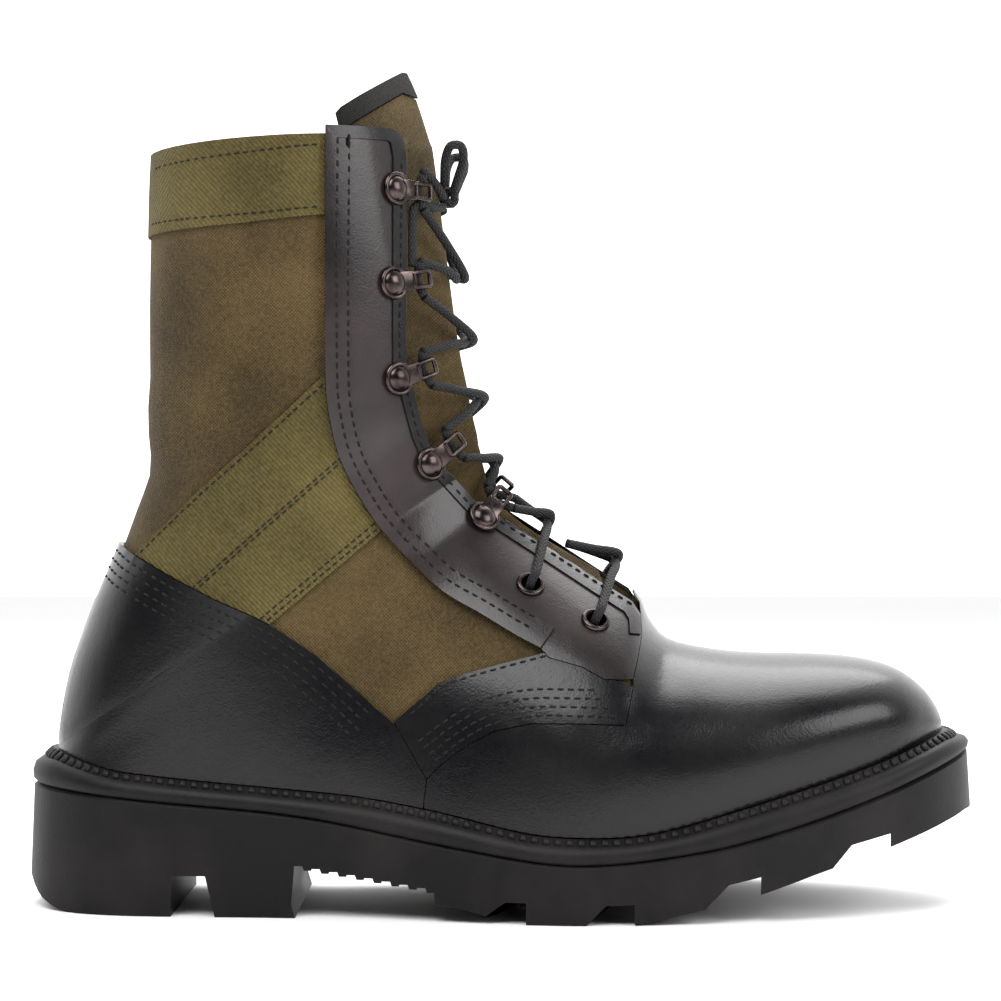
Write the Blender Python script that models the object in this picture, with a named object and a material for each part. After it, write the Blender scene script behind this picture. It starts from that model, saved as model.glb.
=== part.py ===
"""Jungle boot for the right foot: canvas and leather upper on a lugged rubber sole.

Metres, +Z up. +X points to the toe, -Y is the outer (lateral) side. The origin is on the
floor, in the middle of the sole's length and width.
"""

import math
from typing import NamedTuple

import bmesh
import bpy
from mathutils import Vector
from mathutils.bvhtree import BVHTree
from mathutils.interpolate import poly_3d_calc

OBJECT_NAME = "jungle_boot"

# Driving sizes of the last
LENGTH = 0.2887        # feather line, heel to toe
LAST_WIDTH = 0.098     # feather line across the ball
SOLE_RISE = 0.0512     # floor to the feather line at the back of the heel
UPPER_RISE = 0.1938    # feather line to the collar at the back

# Walls, layers and clearances
CLEAR = 0.0003
WALL = 0.0020
VAMP_LEATHER = 0.0014
COUNTER_LEATHER = 0.0019
FACING_LEATHER = 0.0020
WEBBING = 0.0010
TONGUE = 0.0022
BINDING = 0.0008
INSOLE = 0.0030
HEM = 0.0008           # leather panels end this far above the feather line
UPPER_HEM = 0.0006     # and the upper itself
INSOLE_GAP = 0.0012
TONGUE_GAP = 0.0019
TONGUE_LIFT = -0.0002

# Sole
END_MARGIN = 0.00965   # sole beyond the feather line at heel and toe
SIDE_MARGIN = 0.0070   # sole beyond the feather line at the sides
SOLE_FLARE = 0.0008
SOLE_CHAMFER = 0.0009
LUG_SLANT = 0.22       # forward run of a groove for each metre across
GROOVE_LAP = 0.0013    # the two halves of a groove overlap past the middle
CHANNEL_WIDTH = 0.013
CHANNEL_DEPTH = 0.0045
WAIST_RIBS = 8
RIB_DEPTH = 0.0014

# Throat
THROAT_RAISE = 0.0035  # the medial edge lies higher over the instep
THROAT_MIDDLE = 0.0040
THROAT_HALF = 0.0085
THROAT_FRONT = 0.1510  # share of LENGTH

# Hardware and lace
EYELET_RADIUS = 0.0047
EYELET_HOLE = 0.0028
EYELET_WALL = 0.0006
EYELET_ROLL = 0.0010
HOOK_RADIUS = 0.0055
HOOK_DOME = 0.0027
HOOK_REACH = 0.0142      # rivet centre to the loop's far side
HOOK_LOOP_LONG = 0.0068
HOOK_LOOP_WIDE = 0.0062
HOOK_THICK = 0.0011
HOOK_WIRE = 0.0015
HOOK_LIFT = 0.0013       # middle of the arm above the facing
LACE = 0.0026
LACE_LIFT = 0.0010       # lace above the tongue
LACE_OVER = 0.0012       # upper strand above the lower one at a crossing
HIGH_ON_SHAFT = 0.45
EYELET_STEPS = 10
HOOK_STEPS = 8
HOOK_RINGS = 6
LACE_BEND = 0.0029
BEND_STEPS = 3
LACE_STEP = 2.8     # mesh step along a crossing, in lace widths

LATERAL = -1.0
MEDIAL = 1.0
FEATHER = None


class Feather(NamedTuple):
    """A station of the feather line, where the upper meets the welt."""

    x: float       # share of LENGTH
    z: float       # share of SOLE_RISE
    half: float    # share of LAST_WIDTH
    centre: float  # share of LAST_WIDTH, + to the medial side


FEATHER_LINE = [
    Feather(-0.500, 1.000, 0.000, 0.000),
    Feather(-0.478, 0.955, 0.186, 0.000),
    Feather(-0.433, 0.891, 0.280, 0.000),
    Feather(-0.391, 0.863, 0.311, 0.000),
    Feather(-0.329, 0.828, 0.327, -0.002),
    Feather(-0.249, 0.789, 0.337, -0.008),
    Feather(-0.156, 0.742, 0.359, -0.022),
    Feather(-0.069, 0.660, 0.401, -0.039),
    Feather(0.028, 0.539, 0.459, -0.047),
    Feather(0.087, 0.516, 0.488, -0.039),
    Feather(0.145, 0.527, 0.500, -0.022),
    Feather(0.194, 0.578, 0.500, -0.006),
    Feather(0.249, 0.664, 0.490, 0.010),
    Feather(0.346, 0.820, 0.439, 0.037),
    Feather(0.409, 0.930, 0.378, 0.051),
    Feather(0.443, 0.996, 0.321, 0.056),
    Feather(0.478, 1.066, 0.214, 0.061),
    Feather(0.500, 1.104, 0.000, 0.061),
]


class Section(NamedTuple):
    """A slanting section of the last, from its lower or back point to its ridge point."""

    ridge_x: float  # share of LENGTH
    ridge_z: float  # share of UPPER_RISE above the feather line at the heel
    low_x: float    # share of LENGTH
    low_z: float    # share of UPPER_RISE, or FEATHER where the section stands on that line
    half: float     # widest half width, share of LAST_WIDTH
    ridge_y: float  # share of LAST_WIDTH
    widest: float   # place of the widest point, share of the section
    crown_p: float  # fullness of the crown
    crown_q: float  # roundness of the ridge


SECTIONS = [
    Section(0.500, 0.027, 0.500, FEATHER, 0.000, 0.061, 0.35, 2.3, 2.30),
    Section(0.497, 0.048, 0.497, FEATHER, 0.088, 0.061, 0.35, 2.3, 2.30),
    Section(0.488, 0.074, 0.488, FEATHER, 0.169, 0.061, 0.35, 2.3, 2.30),
    Section(0.472, 0.101, 0.472, FEATHER, 0.245, 0.061, 0.35, 2.3, 2.30),
    Section(0.445, 0.126, 0.445, FEATHER, 0.330, 0.059, 0.35, 2.3, 2.30),
    Section(0.405, 0.141, 0.405, FEATHER, 0.396, 0.055, 0.35, 2.3, 2.20),
    Section(0.350, 0.147, 0.350, FEATHER, 0.453, 0.051, 0.34, 2.2, 2.10),
    Section(0.284, 0.149, 0.284, FEATHER, 0.496, 0.051, 0.33, 2.1, 2.00),
    Section(0.229, 0.158, 0.229, FEATHER, 0.514, 0.051, 0.32, 2.0, 1.90),
    Section(0.187, 0.175, 0.177, FEATHER, 0.516, 0.051, 0.31, 2.0, 1.80),
    Section(0.164, 0.212, 0.132, FEATHER, 0.510, 0.056, 0.31, 2.0, 1.70),
    Section(0.150, 0.257, 0.090, FEATHER, 0.496, 0.061, 0.30, 2.0, 1.65),
    Section(0.111, 0.298, 0.028, FEATHER, 0.463, 0.061, 0.30, 2.0, 1.60),
    Section(0.066, 0.337, -0.048, FEATHER, 0.420, 0.061, 0.30, 2.0, 1.55),
    Section(0.028, 0.373, -0.132, FEATHER, 0.384, 0.051, 0.30, 2.0, 1.50),
    Section(0.003, 0.404, -0.229, FEATHER, 0.357, 0.041, 0.31, 2.0, 1.45),
    Section(-0.011, 0.430, -0.319, FEATHER, 0.347, 0.031, 0.32, 2.0, 1.40),
    Section(-0.017, 0.453, -0.388, FEATHER, 0.344, 0.020, 0.33, 2.0, 1.40),
    Section(-0.020, 0.472, -0.440, FEATHER, 0.343, 0.015, 0.34, 2.0, 1.40),
    Section(-0.023, 0.487, -0.475, FEATHER, 0.343, 0.010, 0.35, 2.0, 1.35),
    Section(-0.024, 0.499, -0.494, FEATHER, 0.343, 0.006, 0.36, 2.0, 1.35),
    Section(-0.026, 0.510, -0.500, 0.000, 0.344, 0.004, 0.37, 2.0, 1.35),
    Section(-0.028, 0.530, -0.498, 0.045, 0.345, 0.000, 0.38, 2.0, 1.30),
    Section(-0.032, 0.555, -0.488, 0.123, 0.347, 0.000, 0.39, 2.0, 1.30),
    Section(-0.036, 0.582, -0.470, 0.208, 0.349, 0.000, 0.40, 2.0, 1.30),
    Section(-0.040, 0.616, -0.445, 0.293, 0.353, 0.000, 0.42, 2.0, 1.30),
    Section(-0.046, 0.657, -0.423, 0.376, 0.360, 0.000, 0.43, 2.0, 1.30),
    Section(-0.052, 0.711, -0.407, 0.458, 0.369, 0.000, 0.44, 2.0, 1.30),
    Section(-0.059, 0.788, -0.403, 0.572, 0.384, 0.000, 0.45, 2.0, 1.30),
    Section(-0.068, 0.892, -0.403, 0.742, 0.398, 0.000, 0.46, 2.0, 1.30),
    Section(-0.078, 1.008, -0.400, 0.933, 0.408, 0.000, 0.47, 2.0, 1.30),
    Section(-0.082, 1.028, -0.398, 1.000, 0.411, 0.000, 0.47, 2.0, 1.30),
    Section(-0.098, 1.102, -0.397, 1.072, 0.413, 0.000, 0.47, 2.0, 1.30),
    Section(-0.114, 1.155, -0.396, 1.144, 0.413, 0.000, 0.47, 2.0, 1.30),
]
PLAIN_ROWS = (22, 24, 26, 29)  # rows that only shape the curve and carry no mesh
HEEL_POINT = 21    # section that starts at the back end of the feather line
COLLAR = 31        # section at the collar
LAST_ROW = len(SECTIONS) - 1
STEPS_UP = 3       # mesh steps from the feather line to the widest point
STEPS_OVER = 6     # mesh steps from the widest point to the ridge
PLAN_STEPS = 24    # mesh steps along the sole
TONGUE_START = 10  # section where the tongue begins, under the throat's front end
TONGUE_FREE = 12     # section from which the tongue stands out between the facings
TONGUE_COLUMNS = 4
HEEL_CROWD = (15, 25)  # sections whose ridge points lie close together
TONGUE_NARROW = 16   # section up to which the throat is narrow
TONGUE_WIDE = 25     # section from which it is wide
INSTEP_CROWN = 1.4   # half width of the tongue's crown, in mesh columns
SHAFT_CROWN = 2.9


# Outlines in the side view, as shares of LENGTH and of UPPER_RISE above the heel's feather line
FACING_INNER = [
    (-0.107, 0.990), (-0.107, 0.809), (-0.107, 0.649), (-0.097, 0.587), (-0.087, 0.530),
    (-0.076, 0.489), (-0.055, 0.456), (-0.031, 0.417), (0.002, 0.386), (0.045, 0.345),
    (0.114, 0.278), (0.147, 0.247), (0.156, 0.226), (0.156, 0.195),
]
FACING_FRONT = [(0.149, 0.154), (0.143, 0.125)]
FACING_LOW = [(0.112, 0.126), (0.087, 0.146), (0.052, 0.160)]
FACING_OUTER = [
    (0.042, 0.176), (0.017, 0.195), (-0.024, 0.231), (-0.066, 0.267), (-0.100, 0.314),
    (-0.135, 0.370), (-0.158, 0.422), (-0.180, 0.489), (-0.191, 0.561), (-0.194, 0.613),
    (-0.194, 1.031),
]
FACING_TOP = [(-0.122, 1.034), (-0.111, 1.022)]
COUNTER_TOP = [
    (-0.520, 0.372), (-0.433, 0.345), (-0.409, 0.324), (-0.357, 0.283), (-0.319, 0.254),
    (-0.277, 0.226), (-0.249, 0.205), (-0.208, 0.164), (-0.166, 0.112), (-0.139, 0.076),
    (-0.118, 0.051),
]
COUNTER_FRONT = [(-0.083, -0.037), (-0.092, -0.150), (-0.520, -0.150)]
STRIP_TOP = [(-0.110, 0.066), (-0.097, 0.082), (-0.069, 0.118), (-0.042, 0.133), (-0.003, 0.149),
             (0.048, 0.168)]
STRIP_LOW = [(0.143, 0.112), (0.134, 0.054), (0.087, 0.056), (0.031, 0.056), (-0.009, 0.043),
             (-0.038, 0.020), (-0.066, -0.011), (-0.083, -0.037)]
WEB_UP = [(-0.180, 0.645), (-0.277, 0.510), (-0.336, 0.432), (-0.425, 0.306)]
WEB_LOW = [(-0.267, 0.200), (-0.120, 0.385)]


class Height(NamedTuple):
    """A height of the sole at a station."""

    x: float  # share of LENGTH
    z: float  # share of SOLE_RISE


SOLE_TOP = [
    Height(-0.534, 0.785), Height(-0.391, 0.711), Height(-0.225, 0.625), Height(-0.048, 0.449),
    Height(0.080, 0.361), Height(0.218, 0.437), Height(0.312, 0.561), Height(0.409, 0.734),
    Height(0.478, 0.879), Height(0.534, 0.996),
]
TREAD_LOW = [
    Height(-0.534, 0.190), Height(-0.515, 0.070), Height(-0.480, 0.000), Height(-0.200, 0.000),
    Height(-0.120, 0.090), Height(-0.073, 0.102), Height(-0.017, 0.049), Height(0.000, 0.000),
    Height(0.130, 0.000), Height(0.146, 0.008), Height(0.220, 0.092), Height(0.278, 0.170),
    Height(0.352, 0.303), Height(0.414, 0.408), Height(0.523, 0.613),
]
HEEL_NOTCH = [(-0.3640, -0.10), (-0.3640, 0.252), (-0.3260, 0.252), (-0.3150, 0.0), (-0.3150, -0.10)]
LUG_GROOVES = [
    [(-0.0175, -0.10), (-0.0175, 0.049), (0.0035, 0.133), (0.0275, 0.133), (0.0275, -0.10)],
    [(0.0935, -0.10), (0.0935, 0.0), (0.1145, 0.121), (0.1455, 0.127), (0.1455, -0.10)],
    [(0.2200, -0.10), (0.2200, 0.092), (0.2425, 0.234), (0.2785, 0.279), (0.2785, -0.10)],
    [(0.3520, -0.10), (0.3520, 0.303), (0.3740, 0.455), (0.4145, 0.514), (0.4145, -0.10)],
]
WELT_PROFILE = [(0.90, 0.0), (1.03, 0.10), (1.05, 0.34), (0.96, 0.58), (0.72, 0.74), (0.62, 0.76),
                (0.36, 1.0)]
TONGUE_BODY = [(0.160, 0.10), (0.160, 0.6), (-0.050, 1.085), (-0.113, 1.104), (-0.220, 0.975),
               (-0.220, 0.30)]
TONGUE_BAND = [(-0.050, 1.3), (-0.060, 1.15), (-0.1135, 1.144), (-0.220, 1.018), (-0.220, 0.978),
               (-0.113, 1.107), (-0.055, 1.09)]


def lx(share: float) -> float:
    """Length along the last from its share."""
    return share * LENGTH


def uz(share: float) -> float:
    """Height from its share of the upper's rise."""
    return SOLE_RISE + share * UPPER_RISE


def wy(share: float) -> float:
    """Width from its share of the last's width."""
    return share * LAST_WIDTH


def hermite(values: list, places: list, at: float) -> float:
    """Read a smooth curve through (place, value) pairs, with no overshoot at the ends."""
    last = len(places) - 1
    if at <= places[0]:
        return values[0]
    if at >= places[last]:
        return values[last]
    k = 0
    while at > places[k + 1]:
        k += 1

    def slope(i: int) -> float:
        lo = max(i - 1, 0)
        hi = min(i + 1, last)
        return (values[hi] - values[lo]) / (places[hi] - places[lo])

    span = places[k + 1] - places[k]
    t = (at - places[k]) / span
    a = (1 + 2 * t) * (1 - t) ** 2
    b = t * (1 - t) ** 2 * span
    c = t * t * (3 - 2 * t)
    d = t * t * (t - 1) * span
    return a * values[k] + b * slope(k) + c * values[k + 1] + d * slope(k + 1)


FEATHER_X = [f.x for f in FEATHER_LINE]


def feather_z(x: float) -> float:
    """Height of the feather line at x, run on level beyond its ends."""
    return SOLE_RISE * hermite([f.z for f in FEATHER_LINE], FEATHER_X, x / LENGTH)


def feather_half(x: float) -> float:
    """Half width of the feather line at x."""
    square = hermite([f.half ** 2 for f in FEATHER_LINE], FEATHER_X, x / LENGTH)
    return LAST_WIDTH * math.sqrt(max(square, 0.0))


def feather_centre(x: float) -> float:
    """Centre line of the feather line at x."""
    return LAST_WIDTH * hermite([f.centre for f in FEATHER_LINE], FEATHER_X, x / LENGTH)


class Slice(NamedTuple):
    """A section at any place between the rows of the table, in metres."""

    ridge_x: float
    ridge_z: float
    low_x: float
    low_z: float
    half: float
    ridge_y: float
    low_y: float
    low_half: float
    widest: float
    crown_p: float
    crown_q: float


def slice_at(place: float) -> Slice:
    """Interpolate the table of sections at a row number with a fraction."""
    rows = list(range(len(SECTIONS)))

    def column(name: str) -> float:
        return hermite([getattr(s, name) for s in SECTIONS], rows, place)

    low_x = lx(column("low_x"))
    if place <= HEEL_POINT:
        low_z = feather_z(low_x)
        low_half = feather_half(low_x)
        low_y = feather_centre(low_x)
    else:
        lows = [s.low_z or 0.0 for s in SECTIONS]
        low_z = uz(hermite(lows[HEEL_POINT:], rows[HEEL_POINT:], place))
        low_half = 0.0
        low_y = 0.0
    half = wy(column("half"))
    return Slice(lx(column("ridge_x")), uz(column("ridge_z")), low_x, low_z, half,
                 wy(column("ridge_y")), low_y, min(low_half, 0.985 * half),
                 column("widest"), column("crown_p"), column("crown_q"))


def side_points(cut: Slice, side: float) -> list:
    """Points of one side of a slice, from its low point over the widest to the ridge."""
    ratio = cut.low_half / cut.half if cut.half > 0 else 0.985
    reach = cut.widest / math.sqrt(1 - ratio ** 2)
    start = math.acos(min(cut.widest / reach, 1.0))
    shape = []
    for i in range(STEPS_UP):
        turn = start + (math.pi / 2 - start) * i / STEPS_UP
        shape.append((cut.widest - reach * math.cos(turn), math.sin(turn)))
    for i in range(STEPS_OVER + 1):
        u = math.sin(math.pi / 2 * i / STEPS_OVER)
        full = max(1 - u ** cut.crown_p, 0.0) ** (1 / cut.crown_q)
        shape.append((cut.widest + (1 - cut.widest) * u, full))
    points = []
    for along, out in shape:
        middle = cut.low_y + (cut.ridge_y - cut.low_y) * along ** 2
        points.append(Vector((cut.low_x + (cut.ridge_x - cut.low_x) * along,
                              middle + side * cut.half * out,
                              cut.low_z + (cut.ridge_z - cut.low_z) * along)))
    return points


def section_places() -> list:
    """Row numbers of the mesh's sections: each row, and one between rows that lie far apart."""
    places = []
    for k in range(len(SECTIONS) - 1):
        if k in PLAIN_ROWS:
            continue
        places.append(float(k))
        gap = abs(SECTIONS[k + 1].low_x - SECTIONS[k].low_x)
        rise = abs(SECTIONS[k + 1].ridge_z - SECTIONS[k].ridge_z)
        if gap > 0.095 or rise > 0.12:
            places.append(k + 0.5)
    places.append(float(len(SECTIONS) - 1))
    return places


class LastForm:
    """The grid of the last's outer surface, with a normal at each point."""

    def __init__(self) -> None:
        """Work out the points once, shared where the two sides meet."""
        self.places = section_places()
        self.columns = 2 * (STEPS_UP + STEPS_OVER) + 1
        self.points = []
        self.rows = []
        for place in self.places:
            self.rows.append(self.add_row(place))
        mesh = bmesh.new()
        verts = [mesh.verts.new(p) for p in self.points]
        for face in self.faces(self.rows):
            mesh.faces.new([verts[i] for i in face])
        mesh.normal_update()
        self.normals = [v.normal.copy() for v in verts]
        self.normals[self.rows[0][0]] = Vector((1, 0, 0))
        mesh.free()
        self.triangles = self.faces(self.rows)
        self.tree = BVHTree.FromPolygons(self.points, self.triangles)

    def add_row(self, place: float) -> list:
        """Add one section's points and return their numbers, lateral low to medial low."""
        if place == 0:
            cut = slice_at(0)
            self.points.append(Vector((cut.low_x, cut.low_y, cut.low_z)))
            return [len(self.points) - 1] * self.columns
        cut = slice_at(place)
        lateral = side_points(cut, LATERAL)
        medial = side_points(cut, MEDIAL)
        first = len(self.points)
        line = lateral + medial[-2::-1]
        closed = place >= HEEL_POINT
        if closed:
            line = line[:-1]
        self.points.extend(line)
        numbers = list(range(first, first + len(line)))
        if closed:
            numbers.append(first)
        return numbers

    def faces(self, rows: list) -> list:
        """Triangles between neighbouring rows, facing outwards, mirrored about the ridge."""
        found = []
        for low, high in zip(rows, rows[1:]):
            for j in range(self.columns - 1):
                a, b, c, d = low[j], low[j + 1], high[j + 1], high[j]
                if j < self.columns // 2:
                    pair = ((a, b, c), (a, c, d))
                else:
                    pair = ((a, b, d), (b, c, d))
                found.extend(face for face in pair if len(set(face)) == 3)
        return found

    def offset(self, number: int, distance: float, level: bool) -> Vector:
        """A grid point moved along its normal, or along the level part of it."""
        normal = self.normals[number]
        if level:
            normal = Vector((normal.x, normal.y, 0)).normalized()
        return self.points[number] + distance * normal

    def hit(self, side: float, x: float, z: float) -> tuple:
        """Point and normal of the surface where the side view shows (x, z)."""
        start = Vector((x, side * LAST_WIDTH * 2, z))
        place, _, number, _ = self.tree.ray_cast(start, Vector((0, -side, 0)))
        corners = self.triangles[number]
        shares = poly_3d_calc([self.points[i] for i in corners], place)
        normal = Vector((0, 0, 0))
        for i, share in zip(corners, shares):
            normal += self.normals[i] * share
        return place, normal.normalized()


class Finish(NamedTuple):
    """Colour and surface of one material."""

    colour: tuple
    roughness: float
    metallic: float


FINISHES = {
    "sole_rubber": Finish((0.017, 0.015, 0.015), 0.55, 0.0),
    "black_leather": Finish((0.012, 0.012, 0.014), 0.28, 0.0),
    "facing_leather": Finish((0.028, 0.022, 0.024), 0.35, 0.0),
    "olive_canvas": Finish((0.110, 0.075, 0.034), 0.90, 0.0),
    "olive_webbing": Finish((0.135, 0.110, 0.038), 0.85, 0.0),
    "binding_tape": Finish((0.012, 0.011, 0.010), 0.85, 0.0),
    "insole_fabric": Finish((0.035, 0.031, 0.026), 0.90, 0.0),
    "dark_metal": Finish((0.100, 0.085, 0.085), 0.35, 1.0),
    "lace_cord": Finish((0.010, 0.010, 0.010), 0.80, 0.0),
}


def clear_scene() -> None:
    """Remove the objects of the scene that the script starts from."""
    for old in list(bpy.data.objects):
        bpy.data.objects.remove(old, do_unlink=True)


def collection(name: str) -> bpy.types.Collection:
    """Make a collection under the scene's own."""
    made = bpy.data.collections.new(name)
    bpy.context.scene.collection.children.link(made)
    return made


def material(name: str) -> bpy.types.Material:
    """Find or make the Principled material of a finish."""
    found = bpy.data.materials.get(name)
    if found:
        return found
    finish = FINISHES[name]
    made = bpy.data.materials.new(name)
    made.use_nodes = True
    shader = made.node_tree.nodes["Principled BSDF"]
    shader.inputs["Base Color"].default_value = (*finish.colour, 1.0)
    shader.inputs["Roughness"].default_value = finish.roughness
    shader.inputs["Metallic"].default_value = finish.metallic
    return made


class Shop:
    """Holds the collections and makes, cuts and joins the solids."""

    def __init__(self) -> None:
        """Make the collections of parts and of cutters."""
        self.parts = collection(OBJECT_NAME)
        self.cutters = collection("cutters")

    def solid(self, name: str, finish: str, mesh: bmesh.types.BMesh) -> bpy.types.Object:
        """Make a named part from a mesh in hand."""
        data = bpy.data.meshes.new(name)
        mesh.to_mesh(data)
        mesh.free()
        data.materials.append(material(finish))
        made = bpy.data.objects.new(name, data)
        self.parts.objects.link(made)
        return made

    def cutter(self, name: str, mesh: bmesh.types.BMesh) -> bpy.types.Object:
        """Make a hidden cutter from a mesh in hand."""
        data = bpy.data.meshes.new(name)
        bmesh.ops.recalc_face_normals(mesh, faces=mesh.faces)
        mesh.to_mesh(data)
        mesh.free()
        made = bpy.data.objects.new(name, data)
        self.cutters.objects.link(made)
        made.hide_render = True
        made.display_type = "WIRE"
        return made

    def cut(self, piece: bpy.types.Object, cutter: bpy.types.Object, how: str) -> None:
        """Add a Boolean of a piece with a cutter."""
        change = piece.modifiers.new(cutter.name, "BOOLEAN")
        change.operation = how
        change.solver = "EXACT"
        change.object = cutter

    def smooth(self, piece: bpy.types.Object, degrees: float) -> None:
        """Shade a round piece smooth, with its edges kept sharp."""
        piece.data.shade_smooth()
        piece.data.set_sharp_from_angle(angle=math.radians(degrees))


def prism(outline: list, low: float, high: float, slant: float = 0.0) -> bmesh.types.BMesh:
    """Extrude a side-view outline, in metres, across the width, slanting forward to the middle."""
    mesh = bmesh.new()
    edge = LAST_WIDTH / 2 + SIDE_MARGIN
    near = [mesh.verts.new((x + slant * (edge - abs(low)), low, z)) for x, z in outline]
    face = mesh.faces.new(near)
    grown = bmesh.ops.extrude_face_region(mesh, geom=[face])
    for vert in grown["geom"]:
        if isinstance(vert, bmesh.types.BMVert):
            vert.co.y = high
            vert.co.x -= slant * (abs(high) - abs(low))
    return mesh


def outline_at(shares: list) -> list:
    """A side-view outline in metres."""
    return [(lx(x), uz(z)) for x, z in shares]


def grown_outline(points: list, margin: float) -> list:
    """Move each corner of an outline outwards by a margin, with mitred corners."""
    count = len(points)
    area = sum(points[i - 1][0] * points[i][1] - points[i][0] * points[i - 1][1] for i in range(count))
    turn = 1.0 if area > 0 else -1.0
    grown = []
    for i in range(count):
        here = Vector(points[i])
        before = (here - Vector(points[i - 1])).normalized()
        after = (Vector(points[(i + 1) % count]) - here).normalized()
        out = Vector((before.y + after.y, -before.x - after.x)) * turn
        share = max(out.length_squared / 2, 0.35)
        grown.append(tuple(here + out * (margin / share)))
    return grown


def form_shell(form: LastForm, outer: float, inner: float, top: float, hem: float) -> bmesh.types.BMesh:
    """A hollow wall between two offsets of the last, open underneath and at the top section."""
    used = [row for row, place in zip(form.rows, form.places) if place <= top]
    mesh = bmesh.new()
    hems = {form.rows[0][0]: form.rows[1][form.columns // 2]}
    for row, place in zip(form.rows[1:], form.places[1:]):
        if place < HEEL_POINT:
            hems[row[0]] = row[1]
            hems[row[-1]] = row[-2]
    heel = form.places.index(HEEL_POINT)
    hems[form.rows[heel][0]] = form.rows[heel + 1][0]
    rims = set(hems)
    for row, place in zip(form.rows, form.places):
        if place == top:
            rims.update(row)
    skins = []
    for distance in (outer, inner):
        skin = {}
        for row in used:
            for number in row:
                if number not in skin:
                    place = form.offset(number, distance, number in rims)
                    if number in hems:
                        above = form.offset(hems[number], distance, False)
                        place = place.lerp(above, hem / (above - place).length)
                    skin[number] = mesh.verts.new(place)
        skins.append(skin)
    faces = form.faces(used)
    for face in faces:
        mesh.faces.new([skins[0][i] for i in face])
        mesh.faces.new([skins[1][i] for i in reversed(face)])
    sides = {}
    for face in faces:
        for a, b in zip(face, face[1:] + face[:1]):
            sides[(a, b)] = sides.get((a, b), 0) + 1
    for a, b in sides:
        if (b, a) not in sides:
            mesh.faces.new([skins[0][b], skins[0][a], skins[1][a], skins[1][b]])
    return mesh


class Panel(NamedTuple):
    """A layer on the upper, cut from a shell of the last by its side-view outline."""

    name: str
    finish: str
    outline: list
    outer: float
    side: float          # LATERAL, MEDIAL or 0 for both
    top: int             # section that it ends at, if its outline reaches that far
    clear_of: list       # outlines that it stays clear of


def throat_outline(raised: float) -> list:
    """Side view of what the throat takes out of the upper and the vamp."""
    edge = [(x, z + raised) for x, z in outline_at(FACING_INNER)]
    front = outline_at([(0.176, 0.182)])
    far = outline_at([(0.176, 1.2), (-0.107, 1.2)])
    return edge + front + far


def facing_outline(raised: float) -> list:
    """Side view of an eyestay. The medial one is raised over the instep."""
    inner = [(x, z + raised) for x, z in outline_at(FACING_INNER)]
    rest = outline_at(FACING_FRONT + FACING_LOW + FACING_OUTER + FACING_TOP)
    return inner + rest


def counter_outline() -> list:
    """Side view of the heel counter."""
    return outline_at(COUNTER_TOP + COUNTER_FRONT)


def strip_outline() -> list:
    """Side view of the band between the canvas and the vamp."""
    return outline_at(STRIP_TOP + STRIP_LOW)


def quarter_outline() -> list:
    """Side view of all that lies behind the vamp."""
    far = [(-0.095, -0.20), (-0.60, -0.20), (-0.60, 1.3), (STRIP_LOW[0][0], 1.3)]
    return outline_at(STRIP_LOW + far)


def vamp_outline() -> list:
    """Side view of all that the vamp may cover."""
    return outline_at([(-0.10, -0.20), (0.60, -0.20), (0.60, 0.60), (-0.10, 0.60)])


def collar_outline() -> list:
    """Side view of the collar webbing."""
    return outline_at([(-0.45, 0.858), (-0.284, 0.871), (-0.170, 0.890), (-0.170, 1.2), (-0.45, 1.2)])


def ankle_outline() -> list:
    """Side view of the slanting webbing."""
    return outline_at(WEB_UP + WEB_LOW)


def build_panel(shop: Shop, form: LastForm, panel: Panel) -> bpy.types.Object:
    """Cut one layer from a shell just outside the upper."""
    shell = form_shell(form, panel.outer, CLEAR, panel.top, HEM)
    piece = shop.solid(panel.name, panel.finish, shell)
    reach = LAST_WIDTH
    low = -reach if panel.side <= 0 else 0.0
    high = reach if panel.side >= 0 else 0.0
    keep = shop.cutter(panel.name + "_outline", prism(panel.outline, low, high))
    shop.cut(piece, keep, "INTERSECT")
    for i, outline in enumerate(panel.clear_of):
        taken = shop.cutter(f"{panel.name}_clear_{i}", prism(grown_outline(outline, CLEAR), -reach, reach))
        shop.cut(piece, taken, "DIFFERENCE")
    shop.smooth(piece, 35)
    return piece


def throat_slot(shop: Shop, name: str) -> bpy.types.Object:
    """Cutter of the narrow slot over the instep, straight down along the ridge."""
    slot = outline_at([(-0.130, 0.30), (THROAT_FRONT, 0.15), (THROAT_FRONT, 0.45), (-0.130, 1.3)])
    shape = prism(slot, THROAT_MIDDLE - THROAT_HALF, THROAT_MIDDLE + THROAT_HALF)
    return shop.cutter(name + "_slot", shape)


def build_upper(shop: Shop, form: LastForm) -> bpy.types.Object:
    """The hollow wall of canvas and lining, open at the collar, the throat and underneath."""
    upper = shop.solid("upper", "olive_canvas", form_shell(form, 0.0, -WALL, COLLAR, UPPER_HEM))
    for side, raised, name in ((LATERAL, 0.0, "lateral"), (MEDIAL, THROAT_RAISE, "medial")):
        low = min(side * LAST_WIDTH, THROAT_MIDDLE)
        high = max(side * LAST_WIDTH, THROAT_MIDDLE)
        shape = prism(throat_outline(raised), low, high)
        shop.cut(upper, shop.cutter("throat_" + name, shape), "DIFFERENCE")
    shop.cut(upper, throat_slot(shop, "upper"), "DIFFERENCE")
    shop.smooth(upper, 35)
    return upper


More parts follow.
